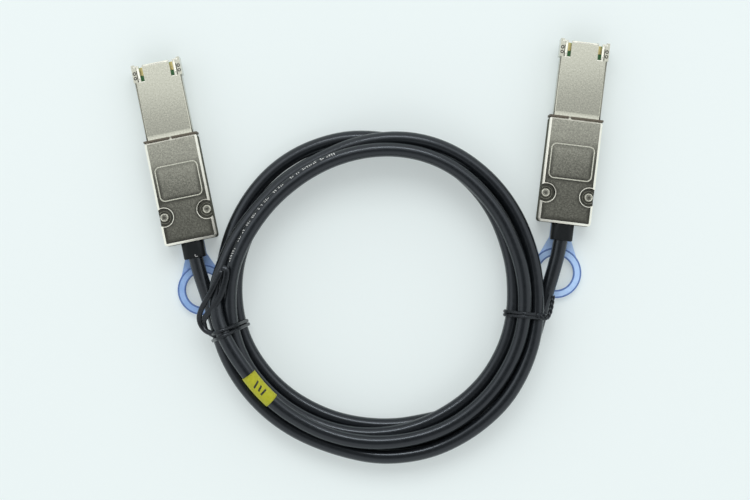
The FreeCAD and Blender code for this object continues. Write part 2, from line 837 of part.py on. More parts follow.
def cable_coil():
    """One closed solid for the cable's turns, hollowed underneath for the finger rings and ties."""
    body = new_body("cable_coil")
    loop = circle(flat(body), "coil_x", "coil_y", "coil_outer")
    circle(loop, "coil_x", "coil_y + coil_offset", "coil_inner")
    block = pad(body, loop, "coil_height")
    dress(body, "Fillet", block, "coil_round", lambda box: near(box.ZLength, 0))
    for side in SIDES:
        middle = ring_place(side, "ring_reach + tab_travel / 2")
        relief = circle(flat(body), *middle, "ring_outer + tab_travel / 2 + 2 * tab_gap")
        pocket(body, relief, "tab_lift + ring_thick + tab_gap", True)
    for side in SIDES:
        turn = f"{side}_tie_turn"
        groove = flat(body)
        corners = []
        for across, along in (("-1", "1"), ("-1", "-1"), ("1", "-1"), ("1", "1")):
            reach = f"((coil_outer + coil_inner) / 2 + {along} * groove_reach)"
            wide = f"{across} * (tie_width / 2 + tie_gap)"
            corners.append((
                f"coil_x + {reach} * cos({turn}) - {wide} * sin({turn})",
                f"coil_y + {reach} * sin({turn}) + {wide} * cos({turn})",
            ))
        polygon(groove, corners)
        pocket(body, groove, "tie_thick + tie_gap", True)
    return keep(body, "cable_coil")


def cable_lead(side):
    """The cable between a plug and the coil: straight runs joined by tangent arcs."""
    corners = [FreeCAD.Vector(*corner) for corner in LEAD_POINTS[side]]
    edges = []
    last = corners[0]
    for before, corner, after in zip(corners, corners[1:], corners[2:]):
        back = before - corner
        ahead = after - corner
        half_turn = (math.pi - back.getAngle(ahead)) / 2
        trim = RUN_SHARE * min(back.Length, ahead.Length)
        radius = trim / math.tan(half_turn)
        print(f"{side}_lead bend radius {radius:.1f} mm")
        enter = corner + back.normalize() * trim
        leave = corner + ahead.normalize() * trim
        bisector = (back + ahead).normalize()
        middle = corner + bisector * (radius / math.cos(half_turn) - radius)
        edges.append(Part.LineSegment(last, enter).toShape())
        edges.append(Part.Arc(enter, middle, leave).toShape())
        last = leave
    edges.append(Part.LineSegment(last, corners[-1]).toShape())
    path = Part.Wire(edges)
    radius = value("cable_radius")
    face = Part.Face(Part.Wire(Part.makeCircle(radius, corners[0], corners[1] - corners[0])))
    tube = path.makePipe(face)
    expected = math.pi * radius ** 2 * path.Length
    print(f"{side}_lead volume {tube.Volume:.1f} of {expected:.1f} mm3, length {path.Length:.1f} mm")
    item = doc.addObject("Part::Feature", f"{side}_lead")
    item.Shape = tube
    return keep(item, f"{side}_lead")


def twist_tie(side):
    """A flat band round all turns of the coil; its X axis points outwards from the coil's middle."""
    body = new_body("twist_tie")
    turn = f"{side}_tie_turn"
    bore = f"(coil_offset * sin({turn}) + sqrt(coil_inner ^ 2 - (coil_offset * cos({turn})) ^ 2))"
    low = f"{bore} - 2 * tie_gap"
    high = "coil_outer + tie_gap"
    top = "coil_height + tie_gap"
    band = section(body)
    rounded(
        band, f"{low} - tie_thick", "0",
        f"{high} + tie_thick", f"{top} + tie_thick", "tie_round + tie_thick",
    )
    rounded(band, low, "tie_thick", high, top, "tie_round")
    pad_both(body, band, "tie_width")
    place(body, "coil_x", "coil_y", turn)
    return keep(body, f"{side}_twist_tie")


def marker_label():
    """The marker label, laid on the turn that carries it."""
    body = new_body("marker_label")
    plate = rectangle(
        flat(body), "label_reach - label_width / 2", "-label_length / 2",
        "label_reach + label_width / 2", "label_length / 2",
    )
    pad(body, plate, "label_thick")
    place(body, "coil_x", "coil_y", "label_turn", "coil_height")
    return keep(body, "marker_label")


PLUG_PIECES = (
    cover_half, latch_half, nose_shell, emi_collar, paddle_card, contact_pads, latch, latch_pin,
    pull_link, pull_tab, shell_screws, boot, crimp_ferrule, conductor_fan, wire_block,
)
for side in SIDES:
    for make in PLUG_PIECES:
        make(side)
    cable_lead(side)
    twist_tie(side)
cable_coil()
marker_label()
doc.recompute()

failed = [
    (item.Name, item.getParentGeoFeatureGroup().Label)
    for item in doc.Objects if {"Invalid", "Error"} & set(item.State)
]
if failed:
    raise RuntimeError(f"failed objects: {failed}")
for node in nodes:
    if node.Shape.isNull() or not node.Shape.isValid():
        raise RuntimeError(f"bad shape: {node.Label}")

os.makedirs("parts", exist_ok=True)
for node in nodes:
    node.Shape.exportStep(f"parts/{node.Label}.step")
    print(f"{node.Label}: {len(node.Shape.Solids)} solids, {node.Shape.Volume:.1f} mm3")
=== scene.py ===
import json
import math

import bpy
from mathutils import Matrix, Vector


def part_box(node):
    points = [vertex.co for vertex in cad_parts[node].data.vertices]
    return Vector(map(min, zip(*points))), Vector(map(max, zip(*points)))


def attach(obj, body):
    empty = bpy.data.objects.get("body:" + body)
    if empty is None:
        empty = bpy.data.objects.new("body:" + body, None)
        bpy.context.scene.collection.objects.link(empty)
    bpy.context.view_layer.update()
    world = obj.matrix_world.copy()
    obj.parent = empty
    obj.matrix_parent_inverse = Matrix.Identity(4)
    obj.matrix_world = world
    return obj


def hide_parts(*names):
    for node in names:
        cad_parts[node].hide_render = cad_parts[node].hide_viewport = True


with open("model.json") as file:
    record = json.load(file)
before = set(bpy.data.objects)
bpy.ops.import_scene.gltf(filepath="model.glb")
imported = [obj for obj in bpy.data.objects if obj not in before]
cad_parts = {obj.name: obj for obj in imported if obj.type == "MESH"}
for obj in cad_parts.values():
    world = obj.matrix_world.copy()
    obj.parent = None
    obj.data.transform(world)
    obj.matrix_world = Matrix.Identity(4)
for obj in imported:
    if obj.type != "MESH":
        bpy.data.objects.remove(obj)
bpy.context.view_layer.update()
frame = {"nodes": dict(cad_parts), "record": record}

SIDES = ("left", "right")
SIGNS = (-1, 1)
UP = Vector((0, 0, 1))

# In a metre
MILLIMETRES = 1000

# The photograph's scale holds at REFERENCE_HEIGHT above the floor.
PIXEL = 0.000404
PIXEL_ORIGIN = (370.44, 177.96)
REFERENCE_HEIGHT = 0.007
CAMERA_SPOT = Vector((0.00184, -0.0291, 0.75))
CLIP_START = 0.01
PICTURE_WIDTH = 750
SENSOR_WIDTH = 36

# Each plug's place on the floor: x and y of its rear face, and its turn in degrees
PLUG_PLACES = {"left": (-0.07208, -0.02571, 11.5), "right": (0.07782, -0.01851, -6.9)}

CABLE_DIAMETER = 0.0058
CABLE_RADIUS = CABLE_DIAMETER / 2
CABLE_ROUNDNESS = 5
CURVE_STEPS = 8
CURVE_ORDER = 3

# The leads' points, from the boots to the coil, as in the part's source, a little higher near the coil
LEFT_LEAD = (
    (-0.07278, -0.02228, 0.0065),
    (-0.07039, -0.03404, 0.0066),
    (-0.06658, -0.04542, 0.0076),
    (-0.06230, -0.05700, 0.0098),
)
RIGHT_LEAD = (
    (0.07824, -0.01504, 0.0065),
    (0.07680, -0.02695, 0.0065),
    (0.07362, -0.03902, 0.0061),
    (0.06992, -0.05072, 0.0057),
)

# Each turn's angles in degrees and pixel radii, as the photograph shows its loose turns
COIL_MIDDLE = (375, 291)
TURNS = (
    (
        (190, 161.5), (200, 162), (240, 160.8), (250, 160.6), (260, 162), (270, 165.3), (280, 167.2),
        (290, 168.9), (320, 169.8), (340, 166.3), (360, 161.6), (380, 160), (400, 160), (420, 159.1),
        (430, 157.6), (440, 154.8), (450, 150.7), (460, 147), (470, 143.2), (480, 142.1), (500, 142.5),
        (510, 144.8), (520, 149.1), (530, 153.8),
    ),
    (
        (180, 159.6), (190, 159.8), (200, 156), (210, 152.1), (220, 151), (240, 150), (260, 151),
        (280, 151.9), (300, 154), (320, 154), (340, 152.5), (360, 149.5), (380, 146.2), (400, 145.6),
        (420, 146), (430, 145), (440, 143.2), (450, 141), (460, 138.9), (470, 137.2), (480, 136),
        (490, 135.6), (500, 136.4), (510, 137.8), (520, 140.4), (530, 143.7),
    ),
    (
        (180, 145.3), (190, 146.9), (200, 148.2), (210, 148.5), (240, 145.4), (260, 143.9), (280, 142.4),
        (300, 141), (320, 141.4), (340, 140.7), (360, 139), (380, 139.7), (400, 143.4), (420, 146.8),
        (440, 150.6), (450, 152.6), (460, 155.2), (480, 157.2), (490, 157.3), (500, 156.3), (520, 154.1),
        (530, 153.5),
    ),
    (
        (180, 153), (190, 151.5), (200, 153.5), (240, 155.4), (270, 157.5), (290, 159), (300, 160.5),
        (310, 162), (320, 161.5), (330, 158), (340, 152.5), (350, 148.5), (360, 147), (380, 147), (400, 148),
        (420, 152), (440, 150), (450, 147), (460, 144), (470, 141.5), (480, 139.8), (510, 139.5), (530, 140),
    ),
    (
        (180, 139.7), (200, 139), (220, 136), (240, 133.5), (250, 133.2), (260, 133.2), (270, 134),
        (280, 135.9), (290, 138), (300, 143.5), (310, 151.5), (320, 158.5), (330, 162.5), (340, 165.3),
        (350, 168.5), (360, 172.4),
    ),
)
FIRST_ANGLES = (200, 180, 180, 180, 180)
LAST_ANGLES = (530, 530, 530, 530, 340)
LAST_SPOT = (4, 360)
LEAD_HEIGHTS = {(0, 190): 0.0098, (4, 350): 0.0050, LAST_SPOT: 0.0059}
ANGLE_STEP = 10
CORNER_CUT = 1.0038

# Which turn lies on which, from the floor up, in each part of the ring
ORDER_LOWER = (4, 3, 0, 2, 1)
ORDER_UPPER = (3, 2, 0, 1)
ORDER_LEFT = (4, 3, 2, 1)

# How low a turn can lie, and where it lies on a tie's band or a pull tab's ring
FLOOR_REST = 0.0031
TIE_REST = 0.0038
RING_REST = 0.0055
RING_SIDE_REST = 0.0043
TIE_ANGLES = (190, 200, 350, 0)
LEFT_RING_ANGLES = (170, 180)
RIGHT_RING_ANGLES = (0, 10)
LEFT_RING_REACH = 147
RIGHT_RING_REACH = 156
SETTLING_ROUNDS = 14
SQUEEZE = 0.97

# What the plugs carry: places are in millimetres across a plug, ahead of its rear face and up.
# A bead's width and thickness are in metres.
BAND_SIDES = 12
LINE_STEPS = 4
SHELL_TOP = 11.4
SHELL_LENGTH = 42.4
SHELL_WIDTH = 21.4
SHELL_CORNER = 1.2
PARTING_HEIGHT = 6.5
PARTING_STEPS = 6
PARTING_BEAD = (0.00016, 0.00026)
FRAME_SIZE = (17.15, 13.85)
FRAME_MIDDLE = 24.8
FRAME_CORNER = 1.95
FRAME_STEPS = 8
FRAME_BEAD = (0.0006, 0.0009)
NOSE_TOP = 10.0
NOSE_HALF = 9.3
TIP_PLACE = 73.2
CARD_TOP = 6.5
LIP_SPANS = ((-9.1, -6.95), (-5.35, 5.35), (6.95, 9.1))
LIP_DROP = 0.18
LIP_BEAD = (0.0009, 0.0006)
RAMP_INSET = 0.5
RAMP_REAR = 43.1
RAMP_LENGTH = 2.4
RAMP_RISE = 0.13
RAMP_SINK = 0.01
RAMP_DEPTH = 0.1
RAMP_STEPS = 6

# Straight beads on each half of a nose: name, two ends, height, bead, finish and slot. The bends and ear
# slits are painted shade, the slot strips painted highlight, the pad ends gold.
NOSE_LINES = (
    ("nose_edge", (NOSE_HALF, 43.2), (NOSE_HALF, 66.8), NOSE_TOP, (0.0004, 0.0003), "bend", "nose"),
    ("ear_slit_shade", (8.05, 67.1), (8.05, 71.6), NOSE_TOP, (0.0004, 0.0001), "dark", "nose"),
    ("slot_side", (7.42, 67.0), (7.42, 73.3), NOSE_TOP, (0.0008, 0.0003), "rim", "nose"),
    ("slot_foot", (5.4, 66.8), (7.8, 66.8), NOSE_TOP, (0.0005, 0.0002), "rim", "nose"),
    ("pad_end", (5.5, 72.7), (6.8, 72.7), CARD_TOP, (0.0007, 0.0002), "gold", "gold"),
)

# Punched dimples in a nose's ears, drawn flat, and the rings of each, a painted-shade ring round a painted
# highlight: name, radius, bead and finish
DIMPLE_PLACE = 9.0
DIMPLE_SETBACKS = (2.6, 4.5)
DIMPLE_LIFT = 0.02
DIMPLE_STEPS = 20
DIMPLE_RINGS = (
    ("rim", 0.42, (0.0006, 0.00016), "dark"),
    ("heart_highlight", 0.12, (0.0003, 0.0002), "rim"),
)

SCREW_PLACE = (8.7, 11.6)
SCREW_RING = 1.4
SCREW_STEPS = 32
SCREW_BEAD = (0.0005, 0.0005)
DRIVE_RADIUS = 0.28
DRIVE_DEPTH = 0.35
DRIVE_STEPS = 24
DRIVE_BEAD = (0.0005, 0.0001)
SEAT_RADIUS = 2.5
SEAT_TOP = 9.0
SEAT_GAP = 48
SEAT_STEPS = 40
SEAT_BEAD = (0.00035, 0.0003)
RING_REACH = 20.0
RING_EDGES = (7.35, 9.95)
RING_TOP = 2.22
RING_STEPS = 64
RING_BEAD = (0.00075, 0.0006)
PIP_LINE = ((0.4, -5.4), (0.5, -6.2), (1.4, -6.3))
PIP_BEAD = (0.0004, 0.0004)

# How much of a node's sharp edges is broken, by slot
EDGE_ROUNDS = {"shell": 0.00016, "nose": 0.00004, "steel": 0.0001, "boot": 0.0002, "tab": 0.0002}
SCREW_ROUND = 0.0002
ROUND_SEGMENTS = 2
ROUND_ANGLE = math.radians(28)
WELD_REACH = 0.000001

# The ties: pixel ends of each one's bands, and spots (column, row, height) of their loose ends
TIE_LINES = {"left": ((248.0, 322.2), (221.0, 333.6)), "right": ((503.5, 312.5), (547.0, 316.6))}
TIE_WIDTH = 0.0014
TIE_THICK = 0.0011
TIE_PITCH = {"left": (0.0015, 0.0024), "right": (0.0014, 0.0011)}
BAND_SHIFTS = (-0.5, 0.5)
SECTION_REACH = 0.016
WRAP_STEPS = 24
WRAP_DIGITS = 6
LEFT_LOOP = (
    (219, 334, 0.0150), (211, 334, 0.0135), (202.5, 328.5, 0.0120), (198.5, 319, 0.0125), (201, 309, 0.0150),
    (207, 299, 0.0172), (214, 286, 0.0182), (222, 270, 0.0190),
)
LEFT_TAIL = (
    (203, 321, 0.0130), (207, 314, 0.0155), (213.5, 307.5, 0.0172), (220.5, 296.5, 0.0186),
    (224.5, 283.5, 0.0194), (226.8, 274, 0.0197), (226.2, 268.4, 0.0197), (222.4, 267.8, 0.0194),
)
LEFT_KNOT = (
    (223, 337, 0.0140), (216, 337, 0.0138), (209.5, 334.5, 0.0128), (205.5, 328, 0.0122),
    (204.5, 321, 0.0132),
)
RIGHT_TWIST = (
    (536, 315, 0.0150), (541, 317, 0.0148), (545, 319, 0.0140), (549, 316, 0.0128), (551, 309, 0.0122),
    (552.3, 302, 0.0115), (553, 296, 0.0108),
)

# The left tie's loose ends: name, spots, bead, and the roll at start and end in degrees
LEFT_ENDS = (
    ("left_tie_loop", LEFT_LOOP, (0.0022, 0.0014), (0, 0)),
    ("left_tie_tail", LEFT_TAIL, (0.0024, 0.0010), (0, 12)),
    ("left_tie_knot", LEFT_KNOT, (0.0014, 0.0012), (0, 200)),
)
STRAND_BEAD = (0.0009, 0.0011)
STRAND_OFFSET = 0.00045
STRAND_PHASES = (0.0, math.pi)
TWIST_PITCH = 0.0040

# The marker label and the print: spans are winding angles along the cable, rolls go from its top outwards.
LABEL_SPAN = (573.2, 586.6)
LABEL_RADIUS = 0.00312
LABEL_FILM = 0.00008
LABEL_STEPS = 12
LABEL_SIDES = 36
LABEL_ROLLS = (-180, 180)
INK_LIFT = 0.00003
MARK_STEPS = 2
MARK_SIDES = 8

# Marks: first and last winding angle, the two rolls, and the slant
PEN_STROKES = ((576.7, 577.5, -34, 24, 1.1), (578.9, 579.7, -30, 14, 0.9), (581.2, 582.0, -36, 20, 0.2))
PRINT_SPAN = (826.0, 888.0)
PRINT_ROLL = 36
PRINT_WANDER = 8
PRINT_PITCH = 0.95
PRINT_FADE = 0.2
PRINT_WAVE = 12.9
PRINT_SPREAD = 43.7
GROUP_SIZE = 7
GROUP_GAP = 2.6
TICK_LIMIT = 0.45
TICK_WIDTH = 0.32
TICK_ROLL = 15
TICK_GROWTH = 16
TICK_SLANT = 0.5
DASH_LIMIT = 0.8
DASH_WIDTH = 0.7
DASH_ROLL = 7
CAP_LIMITS = (0.2, 0.6)
CAP_START = 0.1
CAP_WIDTH = 0.65
CAP_ROLLS = (16, 22)

# Finishes: noise between these two values is spread over a finish's shades and roughness.
NOISE_LOW = 0.3
NOISE_HIGH = 0.7
SHADE_DETAIL = 3.0
BUMP_DETAIL = 2.0
BUMP_GRAIN = 1.7
BUMP_DISTANCE = 0.0001
JACKET_TINT = (0.82, 0.91, 1.0, 1.0)
JACKET_GLOSS = {"cable": 0.50, "tie": 0.40, "boot": 0.25}
# The same blue plastic on both tabs: the right tab's lighter shades are painted light for the stronger light
# on that side.
TAB_SHADES_WITH_PAINTED_LIGHT = {
    "left": ((0.28, 0.46, 0.80), (0.34, 0.52, 0.86)),
    "right": ((0.42, 0.62, 0.95), (0.48, 0.68, 0.99)),
}
TAB_ROUGHNESS = (0.38, 0.48)
TAB_GRAIN = 500
TAB_BUMP = 0.03
SHELL_SHADES = ((0.40, 0.408, 0.348), (0.66, 0.673, 0.574))
SHELL_ROUGHNESS = (0.14, 0.19)
SHELL_GRAIN = 1600
SHELL_BUMP = 0.09
SHELL_EDGE_TINT = (0.15, 0.15, 0.14, 1.0)

# A shell's painted shade: each pair of millimetres is where the shade starts and where it is full.
PAINTED_SHADE_COLOUR = (0.13, 0.134, 0.114)
PAINTED_SHADE_SHARE = 0.75
SHADE_HALF = 9.8
SHADE_INSET = 0.9
SHADE_EDGE = (-2.4, 0.0)
SHADE_FRAME = (2.0, 0.2)
SHADE_SCREW = (5.6, 3.6)
SHADE_REAR = (36.0, 26.0)

# A shell's painted highlight on its rounded edges and painted shade on its walls, told by how far a face
# looks up
EDGE_HIGHLIGHT_COLOUR = (0.96, 0.96, 0.87)
EDGE_AND_WALL_ROUGHNESS = 0.3
HIGHLIGHT_TOP = (0.97, 0.88)
HIGHLIGHT_FOOT = (0.15, 0.4)
SHADED_WALL_TILT = (0.15, 0.05)

# The sockets of a colour mix node: its share, its two colours and its result
MIX_SHARE = 0
MIX_FIRST = 6
MIX_SECOND = 7
MIX_RESULT = 2

# Floor, room and lights
FLOOR_LEVEL = -0.0003
FLOOR_REACH = 2.0
FLOOR_SHADES = ((0.80, 0.885, 0.885), (0.81, 0.895, 0.895))
FLOOR_ROUGHNESS = (0.7, 0.8)
FLOOR_GRAIN = 3
FLOOR_GLOSS = 0.2
FLOOR_GLOW = 0.35
GLOW_COLOUR = (0.83, 0.90, 0.90, 1)
WORLD_STRENGTH = 1.0
WORLD_GREYS = ((0.0, 1.0), (0.72, 1.05), (0.90, 0.40), (0.97, 0.173))
LIGHT_AIM = (0.0, -0.03, 0.0)
KEY_SPOT = (0.0, 1.53, 2.3)
KEY_SIZE = (2.2, 1.5)
KEY_POWER = 28
STRIP_SPOT = (0.0, 1.61, 2.1)
STRIP_SIZE = (2.2, 0.24)
STRIP_POWER = 25

# Soft cards above, seen only by the gloss of the metal: name, middle, depth and power
CARDS = (("near_card", 0.0365, 0.039, 0.0345), ("far_card", 0.121, 0.13, 0.26))
CARD_HEIGHT = 0.25
CARD_WIDTH = 0.6
CARD_TURN = math.radians(3.5)


# Places and the camera


def photo_spot(column, row, height):
    """The place in the frame that a pixel of the photograph shows, at a height above the floor."""
    across = (column - PIXEL_ORIGIN[0]) * PIXEL - CAMERA_SPOT.x
    along = (PIXEL_ORIGIN[1] - row) * PIXEL - CAMERA_SPOT.y
    nearness = (CAMERA_SPOT.z - height) / (CAMERA_SPOT.z - REFERENCE_HEIGHT)
    return Vector((CAMERA_SPOT.x + across * nearness, CAMERA_SPOT.y + along * nearness, height))


def coil_spot(angle, radius, height):
    """A place given by angle and pixel radius about the middle of the coil."""
    turn = math.radians(angle)
    column = COIL_MIDDLE[0] + radius * math.cos(turn)
    row = COIL_MIDDLE[1] - radius * math.sin(turn)
    return photo_spot(column, row, height)


def plug_spot(side, x, y, z):
    """A place on a plug in the frame, from millimetres across it, ahead of its rear face, and up."""
    rear_x, rear_y, degrees = PLUG_PLACES[side]
    turn = math.radians(degrees)
    across = x * math.cos(turn) - y * math.sin(turn)
    ahead = x * math.sin(turn) + y * math.cos(turn)
    return Vector((rear_x + across / MILLIMETRES, rear_y + ahead / MILLIMETRES, z / MILLIMETRES))


def link(obj):
    """Puts a new thing into the scene."""
    bpy.context.scene.collection.objects.link(obj)
    return obj


def set_camera():
    """Looks straight down, as the photograph does."""
    data = bpy.data.cameras.new("camera")
    camera = link(bpy.data.objects.new("camera", data))
    camera.location = CAMERA_SPOT
    data.sensor_width = SENSOR_WIDTH
    data.lens = SENSOR_WIDTH * (CAMERA_SPOT.z - REFERENCE_HEIGHT) / (PICTURE_WIDTH * PIXEL)
    data.clip_start = CLIP_START
    bpy.context.scene.camera = camera


# The cable's route


def turn_radius(turn, angle):
    """The pixel radius of a turn at an angle, between the two nearest measured ones."""
    measured = TURNS[turn]
    for (low, first), (high, second) in zip(measured, measured[1:]):
        if low <= angle <= high:
            return first + (second - first) * (angle - low) / (high - low)
    raise ValueError(f"turn {turn} has no radius at {angle}")


def stack_order(bearing):
    """The turns at a bearing from the floor up, each with its own angle."""
    if bearing == 180:
        return [(turn, bearing) for turn in ORDER_LEFT]
    if bearing > 180:
        return [(turn, bearing) for turn in ORDER_LOWER]
    upper = [(turn, bearing + 360) for turn in ORDER_UPPER]
    return [LAST_SPOT] + upper if bearing == 0 else upper


def rest_height(bearing, radius):
    """The lowest that a turn can lie at a place: on the floor, a tie's band or a pull tab's ring."""
    if bearing in LEFT_RING_ANGLES:
        return RING_REST if radius > LEFT_RING_REACH else RING_SIDE_REST
    if bearing in RIGHT_RING_ANGLES and radius > RIGHT_RING_REACH:
        return RING_REST
    return TIE_REST if bearing in TIE_ANGLES else FLOOR_REST


def stacked_height(bearing, radius, below):
    """The lowest that a turn can lie on the turns below it, given by radius and height."""
    lowest = rest_height(bearing, radius)
    for other_radius, other_height in below:
        apart = (radius - other_radius) * PIXEL
        room = (SQUEEZE * CABLE_DIAMETER) ** 2 - apart ** 2
        if room > 0:
            lowest = max(lowest, other_height + math.sqrt(room))
    return lowest


def lay_turns():
    """The height of each turn at each angle: turns rest on those under them and bend gently."""
    chain = []
    for turn, (first, last) in enumerate(zip(FIRST_ANGLES, LAST_ANGLES)):
        chain += [(turn, angle) for angle in range(first, last + 1, ANGLE_STEP)]
    heights = dict(LEAD_HEIGHTS)
    heights.update({spot: 0.0 for spot in chain})
    for _ in range(SETTLING_ROUNDS):
        eased = dict(heights)
        for before, spot, after in zip(chain, chain[1:], chain[2:]):
            eased[spot] = (heights[before] + 2 * heights[spot] + heights[after]) / 4
        for bearing in range(0, 360, ANGLE_STEP):
            below = []
            for spot in stack_order(bearing):
                radius = turn_radius(*spot)
                if spot not in LEAD_HEIGHTS:
                    heights[spot] = max(stacked_height(bearing, radius, below), eased[spot])
                below.append((radius, heights[spot]))
    return chain, heights


def route_curve(name, spots):
    """A smooth open curve with the given control points."""
    data = bpy.data.curves.new(name, "CURVE")
    data.dimensions = "3D"
    data.resolution_u = CURVE_STEPS
    spline = data.splines.new("NURBS")
    spline.points.add(len(spots) - 1)
    for point, spot in zip(spline.points, spots):
        point.co = (*spot, 1)
    spline.order_u = CURVE_ORDER
    spline.use_endpoint_u = True
    return link(bpy.data.objects.new(name, data))


def route_points(curve):
    """The points along a curve that has no thickness."""
    mesh = bpy.data.meshes.new_from_object(curve)
    points = [vertex.co.copy() for vertex in mesh.vertices]
    bpy.data.meshes.remove(mesh)
    return points


def smooth_points(spots):
    """Points along the smooth curve that a few given spots make."""
    curve = route_curve("guide", spots)
    points = route_points(curve)
    data = curve.data
    bpy.data.objects.remove(curve)
    bpy.data.curves.remove(data)
    return points


def make_cable():
    """The whole cable, from boot to boot, and the points along its middle."""
    chain, heights = lay_turns()
    spots = [Vector(spot) for spot in LEFT_LEAD]
    for turn, angle in chain:
        spots.append(coil_spot(angle, turn_radius(turn, angle) * CORNER_CUT, heights[turn, angle]))
    spots += [Vector(spot) for spot in reversed(RIGHT_LEAD)]
    curve = route_curve("cable", spots)
    points = route_points(curve)
    curve.data.bevel_depth = CABLE_RADIUS
    curve.data.bevel_resolution = CABLE_ROUNDNESS
    curve.data.use_fill_caps = True
    curve.data.materials.append(FINISHES["cable"])
    return curve, points


def route_frames(points):
    """Each point of a route with the way it runs, the level way out from the coil, and the way up."""
    hub = photo_spot(*COIL_MIDDLE, REFERENCE_HEIGHT)
    frames = []
    for number, point in enumerate(points):
        ahead = points[min(number + 1, len(points) - 1)]
        behind = points[max(number - 1, 0)]
        along = (ahead - behind).normalized()
        out = along.cross(UP).normalized()
        if out.dot(point - hub) < 0:
            out.negate()
        up = along.cross(out).normalized()
        if up.z < 0:
            up.negate()
        frames.append((point, along, out, up))
    return frames


# Pieces


def mesh_piece(name, corners, faces, material, smooth=True, body="cable"):
    """A new piece that rides with a body of the frame."""
    mesh = bpy.data.meshes.new(name)
    mesh.from_pydata([tuple(corner) for corner in corners], [], faces)
    mesh.validate()
    for face in mesh.polygons:
        face.use_smooth = smooth
    mesh.materials.append(material)
    piece = link(bpy.data.objects.new(name, mesh))
    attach(piece, body)
    return piece


def sweep(name, points, sides, bead, material, closed=False, body="cable"):
    """A band with rounded edges along a row of points, flat along the given sides."""
    width, thick = bead
    corners = []
    faces = []
    count = len(points)
    for number, (point, side) in enumerate(zip(points, sides)):
        ahead = points[(number + 1) % count] if closed else points[min(number + 1, count - 1)]
        behind = points[number - 1] if closed else points[max(number - 1, 0)]
        along = (ahead - behind).normalized()
        flat = (side - along * side.dot(along)).normalized()
        face_way = along.cross(flat)
        for step in range(BAND_SIDES):
            turn = 2 * math.pi * step / BAND_SIDES
            across = flat * (width / 2 * math.cos(turn))
            corners.append(point + across + face_way * (thick / 2 * math.sin(turn)))
    rows = count if closed else count - 1
    for row in range(rows):
        this = row * BAND_SIDES
        after = (row + 1) % count * BAND_SIDES
        for step in range(BAND_SIDES):
            beside = (step + 1) % BAND_SIDES
            faces.append((this + step, this + beside, after + beside, after + step))
    if not closed:
        faces.append(tuple(reversed(range(BAND_SIDES))))
        faces.append(tuple(range((count - 1) * BAND_SIDES, count * BAND_SIDES)))
    return mesh_piece(name, corners, faces, material, body=body)


# Materials


def new_material(name):
    """A new material with its nodes and its main shader."""
    material = bpy.data.materials.new(name)
    material.use_nodes = True
    shader = material.node_tree.nodes["Principled BSDF"]
    return material, material.node_tree, shader


def noise(tree, scale, detail):
    """Noise in the frame's own coordinates."""
    place = tree.nodes.new("ShaderNodeTexCoord")
    texture = tree.nodes.new("ShaderNodeTexNoise")
    texture.inputs["Scale"].default_value = scale
    texture.inputs["Detail"].default_value = detail
    tree.links.new(place.outputs["Object"], texture.inputs["Vector"])
    return texture.outputs["Fac"]


def spread(tree, source, low, high):
    """Noise spread over a range of values."""
    node = tree.nodes.new("ShaderNodeMapRange")
    node.inputs["From Min"].default_value = NOISE_LOW
    node.inputs["From Max"].default_value = NOISE_HIGH
    node.inputs["To Min"].default_value = low
    node.inputs["To Max"].default_value = high
    tree.links.new(source, node.inputs["Value"])
    return node.outputs["Result"]


def ramp(tree, source, stops):
    """Colours along a value."""
    node = tree.nodes.new("ShaderNodeValToRGB")
    points = node.color_ramp.elements
    while len(points) < len(stops):
        points.new(0.5)
    for point, (place, colour) in zip(points, stops):
        point.position = place
        point.color = (*colour, 1)
    tree.links.new(source, node.inputs["Fac"])
    return node.outputs["Color"]


def surface(name, dark, light, roughness, grain, metallic=0.0, bump=0.0, specular=0.5):
    """A procedural finish: two shades and a band of roughness over fine grain."""
    material, tree, shader = new_material(name)
    field = noise(tree, grain, SHADE_DETAIL)
    shades = ramp(tree, field, ((NOISE_LOW, dark), (NOISE_HIGH, light)))
    tree.links.new(shades, shader.inputs["Base Color"])
    tree.links.new(spread(tree, field, *roughness), shader.inputs["Roughness"])
    shader.inputs["Metallic"].default_value = metallic
    shader.inputs["Specular IOR Level"].default_value = specular
    if bump:
        node = tree.nodes.new("ShaderNodeBump")
        node.inputs["Strength"].default_value = bump
        node.inputs["Distance"].default_value = BUMP_DISTANCE
        tree.links.new(noise(tree, grain * BUMP_GRAIN, BUMP_DETAIL), node.inputs["Height"])
        tree.links.new(node.outputs["Normal"], shader.inputs["Normal"])
    return material


def value(tree, operation, first, second=0.0):
    """Arithmetic on one or two numbers or sockets."""
    node = tree.nodes.new("ShaderNodeMath")
    node.operation = operation
    for place, source in enumerate((first, second)):
        if isinstance(source, (int, float)):
            node.inputs[place].default_value = source
        else:
            tree.links.new(source, node.inputs[place])
    return node.outputs["Value"]


def step_between(tree, source, start, end):
    """A soft step from 0 at start to 1 at end."""
    node = tree.nodes.new("ShaderNodeMapRange")
    node.interpolation_type = "SMOOTHSTEP"
    node.inputs["From Min"].default_value = min(start, end)
    node.inputs["From Max"].default_value = max(start, end)
    node.inputs["To Min"].default_value = 0.0 if start < end else 1.0
    node.inputs["To Max"].default_value = 1.0 if start < end else 0.0
    tree.links.new(source, node.inputs["Value"])
    return node.outputs["Result"]


def mixed(tree, share, first, second):
    """Two colours mixed by a share; the second one is the same all over."""
    node = tree.nodes.new("ShaderNodeMix")
    node.data_type = "RGBA"
    tree.links.new(share, node.inputs[MIX_SHARE])
    tree.links.new(first, node.inputs[MIX_FIRST])
    node.inputs[MIX_SECOND].default_value = (*second, 1)
    return node.outputs[MIX_RESULT]


